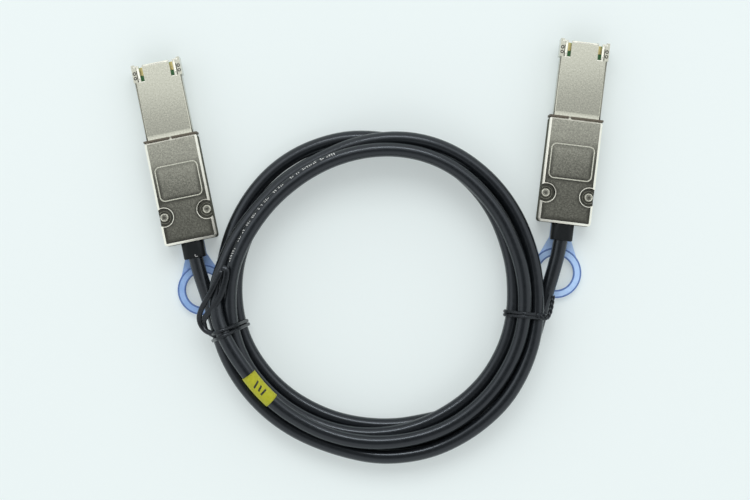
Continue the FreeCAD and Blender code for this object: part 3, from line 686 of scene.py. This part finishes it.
def painted_shade_mask(tree, side):
    """Where painted shade darkens a shell's face: along its edges, beside its raised frame and round its
    screws, towards its rear.
    """
    rear_x, rear_y, degrees = PLUG_PLACES[side]
    place = tree.nodes.new("ShaderNodeTexCoord")
    local = tree.nodes.new("ShaderNodeMapping")
    local.vector_type = "TEXTURE"
    local.inputs["Location"].default_value = (rear_x, rear_y, 0)
    local.inputs["Rotation"].default_value = (0, 0, math.radians(degrees))
    local.inputs["Scale"].default_value = [1 / MILLIMETRES] * 3
    tree.links.new(place.outputs["Object"], local.inputs["Vector"])
    parts = tree.nodes.new("ShaderNodeSeparateXYZ")
    tree.links.new(local.outputs["Vector"], parts.inputs["Vector"])
    wide = value(tree, "ABSOLUTE", parts.outputs["X"])
    y = parts.outputs["Y"]

    def distance_from(middle):
        return value(tree, "ABSOLUTE", value(tree, "SUBTRACT", y, middle))

    def box_distance(half_width, middle, half_length):
        beyond = value(tree, "SUBTRACT", distance_from(middle), half_length)
        return value(tree, "MAXIMUM", value(tree, "SUBTRACT", wide, half_width), beyond)

    outline = box_distance(SHADE_HALF, SHELL_LENGTH / 2, SHELL_LENGTH / 2 - SHADE_INSET)
    edge = step_between(tree, outline, *SHADE_EDGE)
    frame_line = value(tree, "ABSOLUTE", box_distance(FRAME_SIZE[0] / 2, FRAME_MIDDLE, FRAME_SIZE[1] / 2))
    beside = step_between(tree, frame_line, *SHADE_FRAME)
    across = value(tree, "POWER", value(tree, "SUBTRACT", wide, SCREW_PLACE[0]), 2.0)
    ahead = value(tree, "POWER", distance_from(SCREW_PLACE[1]), 2.0)
    screw = step_between(tree, value(tree, "SQRT", value(tree, "ADD", across, ahead)), *SHADE_SCREW)
    shade_share = value(tree, "MAXIMUM", value(tree, "MAXIMUM", edge, beside), screw)
    return value(tree, "MULTIPLY", shade_share, step_between(tree, y, *SHADE_REAR))


def lit_and_shaded_shell(side):
    """The cast finish, with painted shade beside raised lines, round its screws, along its edges and on its
    walls, and a painted highlight on its rounded edges.
    """
    material = surface(
        f"cast_{side}_shell", *SHELL_SHADES, SHELL_ROUGHNESS, SHELL_GRAIN, metallic=1.0, bump=SHELL_BUMP,
    )
    tree = material.node_tree
    shader = tree.nodes["Principled BSDF"]
    colour = shader.inputs["Base Color"].links[0].from_socket
    rough = shader.inputs["Roughness"].links[0].from_socket
    shape = tree.nodes.new("ShaderNodeNewGeometry")
    parts = tree.nodes.new("ShaderNodeSeparateXYZ")
    tree.links.new(shape.outputs["Normal"], parts.inputs["Vector"])
    upward = parts.outputs["Z"]
    # Sloping faces get a painted highlight; upright walls and the masked places get painted shade.
    below_top = step_between(tree, upward, *HIGHLIGHT_TOP)
    edge_highlight = value(tree, "MULTIPLY", below_top, step_between(tree, upward, *HIGHLIGHT_FOOT))
    wall_shade = step_between(tree, value(tree, "ABSOLUTE", upward), *SHADED_WALL_TILT)
    shade_share = value(tree, "MULTIPLY", value(tree, "MAXIMUM", painted_shade_mask(tree, side), wall_shade), PAINTED_SHADE_SHARE)
    painted_colour = mixed(tree, edge_highlight, mixed(tree, shade_share, colour, PAINTED_SHADE_COLOUR), EDGE_HIGHLIGHT_COLOUR)
    tree.links.new(painted_colour, shader.inputs["Base Color"])
    extra = value(tree, "MULTIPLY", value(tree, "MAXIMUM", edge_highlight, wall_shade), EDGE_AND_WALL_ROUGHNESS)
    tree.links.new(value(tree, "ADD", rough, extra), shader.inputs["Roughness"])
    shader.inputs["Specular Tint"].default_value = SHELL_EDGE_TINT
    return material


def blue_tab(side):
    """The moulded finish of a pull tab; the right one is lighter, painted light."""
    return surface(f"blue_{side}_tab", *TAB_SHADES_WITH_PAINTED_LIGHT[side], TAB_ROUGHNESS, TAB_GRAIN, bump=TAB_BUMP)


# Finishes by slot, or by what they are for: name, two shades, roughness and grain
FINISHES = {
    "nose": surface(
        "plated_nose", (0.45, 0.46, 0.391), (0.60, 0.612, 0.522), (0.14, 0.19), 1600, metallic=1.0, bump=0.08,
    ),
    "gasket": surface(
        "gasket", (0.10, 0.09, 0.07), (0.15, 0.13, 0.10), (0.55, 0.7), 1500, metallic=0.3, bump=0.2,
    ),
    "board": surface("board", (0.06, 0.25, 0.08), (0.10, 0.34, 0.13), (0.35, 0.45), 900),
    "gold": surface("gold", (0.62, 0.53, 0.22), (0.76, 0.66, 0.32), (0.30, 0.4), 900, metallic=1.0),
    "steel": surface(
        "steel", (0.55, 0.56, 0.49), (0.75, 0.76, 0.67), (0.18, 0.25), 1200, metallic=1.0, bump=0.03,
    ),
    "boot": surface("boot", (0.004, 0.005, 0.005), (0.008, 0.009, 0.009), (0.45, 0.55), 1500, bump=0.1),
    "ferrule": surface("ferrule", (0.55, 0.50, 0.40), (0.66, 0.60, 0.48), (0.3, 0.4), 900, metallic=1.0),
    "wires": surface("wires", (0.55, 0.55, 0.57), (0.70, 0.70, 0.72), (0.4, 0.5), 600),
    "potting": surface("potting", (0.03, 0.03, 0.03), (0.05, 0.05, 0.05), (0.5, 0.6), 700),
    "cable": surface(
        "jacket", (0.006, 0.0078, 0.0095), (0.009, 0.0108, 0.0125), (0.21, 0.27), 700, bump=0.03,
    ),
    "tie": surface("tie", (0.004, 0.005, 0.006), (0.009, 0.0105, 0.012), (0.22, 0.34), 900, bump=0.2),
    "label": surface(
        "label", (0.36, 0.37, 0.020), (0.43, 0.44, 0.033), (0.40, 0.5), 800, bump=0.05, specular=0.2,
    ),
    "ink": surface("white_ink", (0.48, 0.50, 0.49), (0.75, 0.77, 0.76), (0.5, 0.6), 2500),
    "pen": surface("dark_pen", (0.012, 0.016, 0.010), (0.03, 0.034, 0.022), (0.4, 0.5), 2500),
    # A lighter copy of the plating: painted highlight on the tip lip, the slot strips and the dimples'
    # middles.
    "rim": surface("painted_highlight_plating", (0.82, 0.83, 0.74), (0.92, 0.93, 0.83), (0.24, 0.32), 1800, metallic=1.0),
    # A lighter copy of the plating: painted highlight on the raised frame and the screw heads' turned edges.
    "frame": surface("frame_rim", (0.60, 0.61, 0.53), (0.72, 0.73, 0.64), (0.24, 0.32), 1800, metallic=1.0),
    # A darker copy of the plating: painted shade along the nose's bends and the screw seats' edges.
    "bend": surface("painted_shade_metal", (0.24, 0.245, 0.21), (0.32, 0.325, 0.28), (0.3, 0.4), 1500, metallic=1.0),
    # Near-black plating: the real dark seam where the halves meet, and painted shade in the ear slits, dimple
    # rings and screw sockets.
    "dark": surface("dark_seam_and_shade", (0.10, 0.10, 0.085), (0.17, 0.17, 0.145), (0.4, 0.5), 1500, metallic=1.0),
    "pip": surface("pale_pip", (0.30, 0.31, 0.31), (0.50, 0.51, 0.51), (0.3, 0.4), 1500),
    # Darker blue: painted shade along the tab rings' edges.
    "tab_edge_shade": surface("blue_edge_shade", (0.09, 0.17, 0.42), (0.12, 0.21, 0.48), (0.4, 0.5), 500),
}
SIDE_FINISHES = {
    "shell": {side: lit_and_shaded_shell(side) for side in SIDES},
    "tab": {side: blue_tab(side) for side in SIDES},
}


def gloss_jackets():
    """Gives the black jackets their cool gloss."""
    for slot, gloss in JACKET_GLOSS.items():
        shader = FINISHES[slot].node_tree.nodes["Principled BSDF"]
        shader.inputs["Specular Tint"].default_value = JACKET_TINT
        shader.inputs["Specular IOR Level"].default_value = gloss


# The plugs


def round_edges(node, width):
    """Breaks a node's sharp edges so that they catch the light."""
    node.modifiers.new("join", "WELD").merge_threshold = WELD_REACH
    edge = node.modifiers.new("edge", "BEVEL")
    edge.width = width
    edge.segments = ROUND_SEGMENTS
    edge.limit_method = "ANGLE"
    edge.angle_limit = ROUND_ANGLE
    edge.harden_normals = True


def dress_nodes():
    """Gives every solid of the frame its finish, and broken edges where its slot has them."""
    for row in frame["record"]["subparts"]:
        name = row["node"]
        slot = row["material_slot"]
        node = frame["nodes"][name]
        node.data.materials.clear()
        side = name.split("_")[0]
        node.data.materials.append(SIDE_FINISHES[slot][side] if slot in SIDE_FINISHES else FINISHES[slot])
        if slot in EDGE_ROUNDS:
            round_edges(node, SCREW_ROUND if name.endswith("screws") else EDGE_ROUNDS[slot])


def rounded_corners(width, length, corner, steps):
    """Spots round a rectangle with round corners, about its middle."""
    spots = []
    for quarter, (x, y) in enumerate(((1, 1), (-1, 1), (-1, -1), (1, -1))):
        for step in range(steps + 1):
            turn = math.radians(90 * quarter + 90 * step / steps)
            spots.append((
                x * (width / 2 - corner) + corner * math.cos(turn),
                y * (length / 2 - corner) + corner * math.sin(turn),
            ))
    return spots


def hub_spot(side, hub, radius, degrees, height):
    """A place at a radius and an angle about a spot (across, ahead) of a plug."""
    turn = math.radians(degrees)
    return plug_spot(side, hub[0] + radius * math.cos(turn), hub[1] + radius * math.sin(turn), height)


def circle_points(side, hub, radius, height, count):
    """Points all round a spot of a plug."""
    return [hub_spot(side, hub, radius, 360 * step / count, height) for step in range(count)]


def arc_points(side, hub, radius, height, first, last, steps):
    """Points about a spot of a plug from one angle to another."""
    turns = [first + (last - first) * step / steps for step in range(steps + 1)]
    return [hub_spot(side, hub, radius, degrees, height) for degrees in turns]


def level_bead(name, points, bead, finish, body="cable"):
    """A bead along a closed row of points at one height."""
    count = len(points)
    runs = [points[(number + 1) % count] - points[number - 1] for number in range(count)]
    sides = [run.cross(UP).normalized() for run in runs]
    piece = sweep(name, points, sides, bead, FINISHES[finish], True, body)


def plug_line(name, side, first, last, height, bead, finish, slot):
    """A straight bead on a plug between two spots (across, ahead) of it."""
    points = []
    for step in range(LINE_STEPS + 1):
        x, y = (start + (end - start) * step / LINE_STEPS for start, end in zip(first, last))
        points.append(plug_spot(side, x, y, height))
    flat = (points[-1] - points[0]).cross(UP).normalized()
    piece = sweep(f"{side}_{name}", points, [flat] * len(points), bead, FINISHES[finish])


def frame_bead(side):
    """The raised rounded line that frames the cover's face, in a lighter plating that paints its highlight.
    """
    spots = rounded_corners(*FRAME_SIZE, FRAME_CORNER, FRAME_STEPS)
    points = [plug_spot(side, x, FRAME_MIDDLE + y, SHELL_TOP) for x, y in spots]
    level_bead(f"{side}_frame_bead", points, FRAME_BEAD, "frame")


def parting_line(side):
    """The fine dark seam round the shell's walls where its two halves meet."""
    spots = rounded_corners(SHELL_WIDTH, SHELL_LENGTH, SHELL_CORNER, PARTING_STEPS)
    points = [plug_spot(side, x, SHELL_LENGTH / 2 + y, PARTING_HEIGHT) for x, y in spots]
    level_bead(f"{side}_parting_line", points, PARTING_BEAD, "dark")


def tip_lip(side):
    """The rolled lip at the nose's mouth, in three lengths between the key slots, in a bright plating that
    paints its highlight.
    """
    for number, span in enumerate(LIP_SPANS, 1):
        ends = [(x, TIP_PLACE) for x in span]
        plug_line(f"tip_lip_{number}", side, *ends, NOSE_TOP - LIP_DROP, LIP_BEAD, "rim", "nose")


def nose_ramp(side):
    """The hollow slope where the nose's face rises to the collar."""
    half = NOSE_HALF - RAMP_INSET
    corners = []
    faces = []
    for step in range(RAMP_STEPS + 1):
        share = step / RAMP_STEPS
        y = RAMP_REAR + RAMP_LENGTH * share
        for x in (-half, half):
            corners.append(plug_spot(side, x, y, NOSE_TOP - RAMP_SINK + RAMP_RISE * (1 - share) ** 2))
            corners.append(plug_spot(side, x, y, NOSE_TOP - RAMP_DEPTH))
    for step in range(RAMP_STEPS):
        k = 4 * step
        faces += [
            (k, k + 2, k + 6, k + 4), (k + 1, k + 5, k + 7, k + 3), (k, k + 4, k + 5, k + 1),
            (k + 2, k + 3, k + 7, k + 6),
        ]
    end = 4 * RAMP_STEPS
    faces += [(0, 1, 3, 2), (end, end + 2, end + 3, end + 1)]
    piece = mesh_piece(f"{side}_nose_ramp", corners, faces, FINISHES["nose"], False)


def dimple(name, side, spot):
    """A punched dimple, drawn flat: a dark ring of painted shade round a painted highlight in its middle."""
    for kind, radius, bead, finish in DIMPLE_RINGS:
        points = circle_points(side, spot, radius, NOSE_TOP + DIMPLE_LIFT, DIMPLE_STEPS)
        level_bead(f"{side}_{name}_{kind}", points, bead, finish)


def nose_sides(side):
    """The nose's long bends and its ears' slits in painted shade, its ears' strips in painted highlight, its
    dimples, and pad ends.
    """
    for number, sign in enumerate(SIGNS, 1):
        for name, first, last, height, bead, finish, slot in NOSE_LINES:
            ends = [(sign * x, y) for x, y in (first, last)]
            plug_line(f"{name}_{number}", side, *ends, height, bead, finish, slot)
        for place, setback in enumerate(DIMPLE_SETBACKS, 2 * number - 1):
            dimple(f"dimple_{place}", side, (sign * DIMPLE_PLACE, TIP_PLACE - setback))


def screw_details(side):
    """A painted highlight on the turned edge of each screw's head, painted shade in its socket, and painted
    shade along the edge of its seat.
    """
    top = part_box(f"{side}_shell_screws")[1].z * MILLIMETRES
    for number, sign in enumerate(SIGNS, 1):
        hub = (sign * SCREW_PLACE[0], SCREW_PLACE[1])
        ring = circle_points(side, hub, SCREW_RING, top, SCREW_STEPS)
        level_bead(f"{side}_screw_ring_{number}", ring, SCREW_BEAD, "frame")
        socket = circle_points(side, hub, DRIVE_RADIUS, top - DRIVE_DEPTH, DRIVE_STEPS)
        level_bead(f"{side}_screw_socket_shade_{number}", socket, DRIVE_BEAD, "dark")
        opening = 90 - 90 * sign
        span = (opening + SEAT_GAP, opening + 360 - SEAT_GAP)
        seat = arc_points(side, hub, SEAT_RADIUS, SEAT_TOP, *span, SEAT_STEPS)
        outward = [(point - plug_spot(side, *hub, SEAT_TOP)).normalized() for point in seat]
        piece = sweep(f"{side}_seat_edge_shade_{number}", seat, outward, SEAT_BEAD, FINISHES["bend"])


def ring_beads(side):
    """Darker beads along the edges of the pull tab's ring: painted shade of its rounded section."""
    for number, radius in enumerate(RING_EDGES, 1):
        points = circle_points(side, (0, -RING_REACH), radius, RING_TOP, RING_STEPS)
        level_bead(f"{side}_ring_edge_{number}", points, RING_BEAD, "tab_edge_shade", f"{side}_tab")


def boot_pip():
    """A small pale raised mark on the left boot."""
    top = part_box("left_boot")[1].z * MILLIMETRES
    points = [plug_spot("left", x, y, top) for x, y in PIP_LINE]
    flat = UP.cross(points[-1] - points[0]).normalized()
    piece = sweep("left_boot_pip", points, [flat] * len(points), PIP_BEAD, FINISHES["pip"])


# The ties


def section_spots(points, middle, across):
    """Where the cable's turns cross an upright plane: distance along it and height."""
    normal = Vector((-across.y, across.x, 0))
    spots = []
    for start, end in zip(points, points[1:]):
        before = (start - middle).dot(normal)
        after = (end - middle).dot(normal)
        if before * after > 0 or before == after:
            continue
        spot = start.lerp(end, before / (before - after))
        reach = (spot - middle).dot(across)
        if abs(reach) < SECTION_REACH:
            spots.append((reach, spot.z))
    return spots


def turn_side(a, b, c):
    """Positive where a path through three spots turns to its left."""
    return (b[0] - a[0]) * (c[1] - a[1]) - (b[1] - a[1]) * (c[0] - a[0])


def wrap_outline(spots, radius):
    """The outline of a band pulled tight round circles at the given spots."""
    around = [2 * math.pi * step / WRAP_STEPS for step in range(WRAP_STEPS)]
    cloud = sorted({
        (
            round(x + radius * math.cos(turn), WRAP_DIGITS),
            round(z + radius * math.sin(turn), WRAP_DIGITS),
        )
        for x, z in spots for turn in around
    })
    outline = []
    for row in (cloud, list(reversed(cloud))):
        chain = []
        for spot in row:
            while len(chain) > 1 and turn_side(chain[-2], chain[-1], spot) <= 0:
                chain.pop()
            chain.append(spot)
        outline += chain[:-1]
    return outline


def make_tie_bands(side, points):
    """The two bands of a twist tie, side by side round the turns."""
    inner, outer = (photo_spot(*spot, REFERENCE_HEIGHT) for spot in TIE_LINES[side])
    across = (outer - inner).normalized()
    along = Vector((-across.y, across.x, 0))
    middle = (inner + outer) / 2
    middle.z = 0
    outline = wrap_outline(section_spots(points, middle, across), CABLE_RADIUS + TIE_THICK / 2)
    bands = []
    half = (outer - inner).length / 2
    first, last = TIE_PITCH[side]
    for number, sign in enumerate(BAND_SHIFTS, 1):
        loop = []
        for reach, height in outline:
            shift = sign * (first + (last - first) * (reach + half) / (2 * half))
            loop.append(middle + across * reach + along * shift + UP * max(height, TIE_THICK / 2))
        name = f"{side}_tie_band_{number}"
        bands.append(sweep(name, loop, [along] * len(loop), (TIE_WIDTH, TIE_THICK), FINISHES["tie"], True))
    return bands


def tail_piece(name, spots, bead, roll):
    """A tie's loose end through given spots, rolled from one angle to another."""
    points = smooth_points([photo_spot(*spot) for spot in spots])
    sides = []
    for number, (_, _, out, up) in enumerate(route_frames(points)):
        share = number / (len(points) - 1)
        turn = math.radians(roll[0] + (roll[1] - roll[0]) * share)
        sides.append(out * math.cos(turn) + up * math.sin(turn))
    return sweep(name, points, sides, bead, FINISHES["tie"])


def twisted_strand(name, spots, phase):
    """One of the two strands of a twist tie's twisted end."""
    points = smooth_points([photo_spot(*spot) for spot in spots])
    strand = []
    sides = []
    travelled = 0.0
    last = points[0]
    for point, _, out, up in route_frames(points):
        travelled += (point - last).length
        last = point
        turn = phase + 2 * math.pi * travelled / TWIST_PITCH
        away = out * math.cos(turn) + up * math.sin(turn)
        strand.append(point + away * STRAND_OFFSET)
        sides.append(away)
    return sweep(name, strand, sides, STRAND_BEAD, FINISHES["tie"])


def make_ties(points):
    """Both twist ties, each as its bands and its loose ends."""
    pieces = {side: make_tie_bands(side, points) for side in SIDES}
    pieces["left"] += [tail_piece(*end) for end in LEFT_ENDS]
    for number, phase in enumerate(STRAND_PHASES, 1):
        pieces["right"].append(twisted_strand(f"right_tie_strand_{number}", RIGHT_TWIST, phase))
    for side in SIDES:
        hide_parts(f"{side}_twist_tie")
    return pieces


# The marker label and the print on the jacket


def winding_angles(points):
    """How far round the coil each point of the cable is, in degrees, counted on through the turns."""
    hub = photo_spot(*COIL_MIDDLE, REFERENCE_HEIGHT)
    bearings = [math.degrees(math.atan2(point.y - hub.y, point.x - hub.x)) % 360 for point in points]
    angles = []
    last = bearings[0]
    total = last
    for bearing in bearings:
        total += (bearing - last + 180) % 360 - 180
        last = bearing
        angles.append(total)
    return angles


def frame_at(route, angle):
    """The cable's middle, way out and way up at a winding angle, between the two nearest points."""
    for (low, first), (high, second) in zip(route, route[1:]):
        if low <= angle < high:
            share = (angle - low) / (high - low)
            point, _, out, up = (a.lerp(b, share) for a, b in zip(first, second))
            return point, out.normalized(), up.normalized()
    raise ValueError(f"no cable at {angle}")


def jacket_corners(route, span, steps, rolls, sides, radius, slant=0.0):
    """Corners on the jacket from one winding angle to another, between two rolls from the top outwards."""
    first, last = span
    low, high = rolls
    corners = []
    for step in range(steps + 1):
        for side in range(sides + 1):
            share = side / sides
            point, out, up = frame_at(route, first + (last - first) * step / steps + slant * share)
            roll = math.radians(low + (high - low) * share)
            corners.append(point + (up * math.cos(roll) + out * math.sin(roll)) * radius)
    return corners


def grid_faces(steps, sides, start=0):
    """The faces between rows of corners, from the number of the first corner."""
    faces = []
    for step in range(steps):
        this = start + step * (sides + 1)
        after = this + sides + 1
        faces += [(this + side, this + side + 1, after + side + 1, after + side) for side in range(sides)]
    return faces


def make_label(route):
    """The yellow marker: a film wrapped once round the cable, with its ends pressed together below."""
    corners = []
    for radius in (LABEL_RADIUS, LABEL_RADIUS - LABEL_FILM):
        corners += jacket_corners(route, LABEL_SPAN, LABEL_STEPS, LABEL_ROLLS, LABEL_SIDES, radius)
    count = len(corners) // 2
    faces = grid_faces(LABEL_STEPS, LABEL_SIDES)
    faces += [tuple(reversed(face)) for face in grid_faces(LABEL_STEPS, LABEL_SIDES, count)]
    for row_start in (0, count - LABEL_SIDES - 1):
        for outer in range(row_start, row_start + LABEL_SIDES):
            inner = outer + count
            faces.append((outer, outer + 1, inner + 1, inner))
    return mesh_piece("marker_film", corners, faces, FINISHES["label"])


def jacket_marks(name, route, marks, radius, material):
    """Thin patches on the jacket."""
    corners = []
    faces = []
    for first, last, low, high, slant in marks:
        faces += grid_faces(MARK_STEPS, MARK_SIDES, len(corners))
        corners += jacket_corners(route, (first, last), MARK_STEPS, (low, high), MARK_SIDES, radius, slant)
    return mesh_piece(name, corners, faces, material)


def print_marks():
    """A line of small plain ticks and dashes in short groups, like the worn print on a jacket."""
    marks = []
    first, last = PRINT_SPAN
    angle = first
    number = 0
    while angle < last:
        wave = math.sin(angle * PRINT_WAVE) * PRINT_SPREAD
        chance = wave - math.floor(wave)
        low = PRINT_ROLL - PRINT_WANDER / 2 + PRINT_WANDER * chance
        size = 1 - PRINT_FADE * (angle - first) / (last - first)
        if chance < TICK_LIMIT:
            high = low + (TICK_ROLL + TICK_GROWTH * chance) * size
            marks.append((angle, angle + TICK_WIDTH * size, low, high, TICK_SLANT * chance))
        elif chance < DASH_LIMIT:
            marks.append((angle, angle + DASH_WIDTH * size, low, low + DASH_ROLL * size, 0.0))
        if CAP_LIMITS[0] < chance < CAP_LIMITS[1]:
            start = angle + CAP_START
            cap_low, cap_high = (low + roll * size for roll in CAP_ROLLS)
            marks.append((start, start + CAP_WIDTH * size, cap_low, cap_high, 0.0))
        number += 1
        angle += PRINT_PITCH * (GROUP_GAP if number % GROUP_SIZE == 0 else 1)
    return marks


# Floor and light


def make_floor():
    """A plain pale floor that keeps the object's shadow and is a little lighter to the eye than it is lit."""
    mesh = bpy.data.meshes.new("floor")
    spots = ((-1, -1), (1, -1), (1, 1), (-1, 1))
    mesh.from_pydata([(x * FLOOR_REACH, y * FLOOR_REACH, FLOOR_LEVEL) for x, y in spots], [], [(0, 1, 2, 3)])
    material = surface("floor", *FLOOR_SHADES, FLOOR_ROUGHNESS, FLOOR_GRAIN, specular=FLOOR_GLOSS)
    tree = material.node_tree
    path = tree.nodes.new("ShaderNodeLightPath")
    seen = path.outputs["Is Camera Ray"]
    for kind in ("Is Glossy Ray", "Is Transmission Ray"):
        seen = value(tree, "MAXIMUM", seen, path.outputs[kind])
    glow = tree.nodes.new("ShaderNodeEmission")
    glow.inputs["Color"].default_value = GLOW_COLOUR
    mix = tree.nodes.new("ShaderNodeMixShader")
    tree.links.new(value(tree, "MULTIPLY", seen, FLOOR_GLOW), mix.inputs["Fac"])
    tree.links.new(tree.nodes["Principled BSDF"].outputs["BSDF"], mix.inputs[1])
    tree.links.new(glow.outputs["Emission"], mix.inputs[2])
    tree.links.new(mix.outputs["Shader"], tree.nodes["Material Output"].inputs["Surface"])
    mesh.materials.append(material)
    link(bpy.data.objects.new("floor", mesh))


def area_light(name, spot, aim, size, energy):
    """A rectangular light that faces a place."""
    data = bpy.data.lights.new(name, "AREA")
    data.shape = "RECTANGLE"
    data.size, data.size_y = size
    data.energy = energy
    light = link(bpy.data.objects.new(name, data))
    light.location = spot
    light.rotation_euler = (Vector(aim) - Vector(spot)).to_track_quat("-Z", "Y").to_euler()
    return light


def set_lights(jacket_pieces):
    """A key light without glare, a strip that only the jackets' gloss sees, and the cards."""
    key = area_light("key", KEY_SPOT, LIGHT_AIM, KEY_SIZE, KEY_POWER)
    key.visible_glossy = False
    strip = area_light("strip", STRIP_SPOT, LIGHT_AIM, STRIP_SIZE, STRIP_POWER)
    strip.visible_diffuse = False
    jackets = bpy.data.collections.new("jackets")
    for piece in jacket_pieces:
        jackets.objects.link(piece)
    strip.light_linking.receiver_collection = jackets
    for name, middle, depth, energy in CARDS:
        card = area_light(name, (0.0, middle, CARD_HEIGHT), (0.0, middle, 0.0), (CARD_WIDTH, depth), energy)
        card.rotation_euler = (0, 0, CARD_TURN)
        card.visible_diffuse = False
        card.visible_camera = False


def set_world():
    """A room that is darker overhead than round its sides."""
    world = bpy.data.worlds.new("room")
    bpy.context.scene.world = world
    world.use_nodes = True
    tree = world.node_tree
    place = tree.nodes.new("ShaderNodeTexCoord")
    parts = tree.nodes.new("ShaderNodeSeparateXYZ")
    tree.links.new(place.outputs["Generated"], parts.inputs["Vector"])
    shade = ramp(tree, parts.outputs["Z"], [(stop, (grey, grey, grey)) for stop, grey in WORLD_GREYS])
    tree.links.new(shade, tree.nodes["Background"].inputs["Color"])
    tree.nodes["Background"].inputs["Strength"].default_value = WORLD_STRENGTH


gloss_jackets()
dress_nodes()
boot_pip()
for plug in SIDES:
    frame_bead(plug)
    parting_line(plug)
    tip_lip(plug)
    nose_ramp(plug)
    nose_sides(plug)
    screw_details(plug)
    ring_beads(plug)

set_camera()
cable, cable_points = make_cable()
cable_route = list(zip(winding_angles(cable_points), route_frames(cable_points)))
ties = make_ties(cable_points)

label = make_label(cable_route)
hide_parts("marker_label")
strokes = jacket_marks("marker_strokes", cable_route, PEN_STROKES, LABEL_RADIUS + INK_LIFT, FINISHES["pen"])
ticks = print_marks()
print_line = jacket_marks("jacket_print", cable_route, ticks, CABLE_RADIUS + INK_LIFT, FINISHES["ink"])

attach(cable, "cable")
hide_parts("cable_coil", "left_lead", "right_lead")

make_floor()
set_lights((cable, *ties["left"], *ties["right"]))
set_world()
bpy.context.scene.view_settings.view_transform = "Standard"
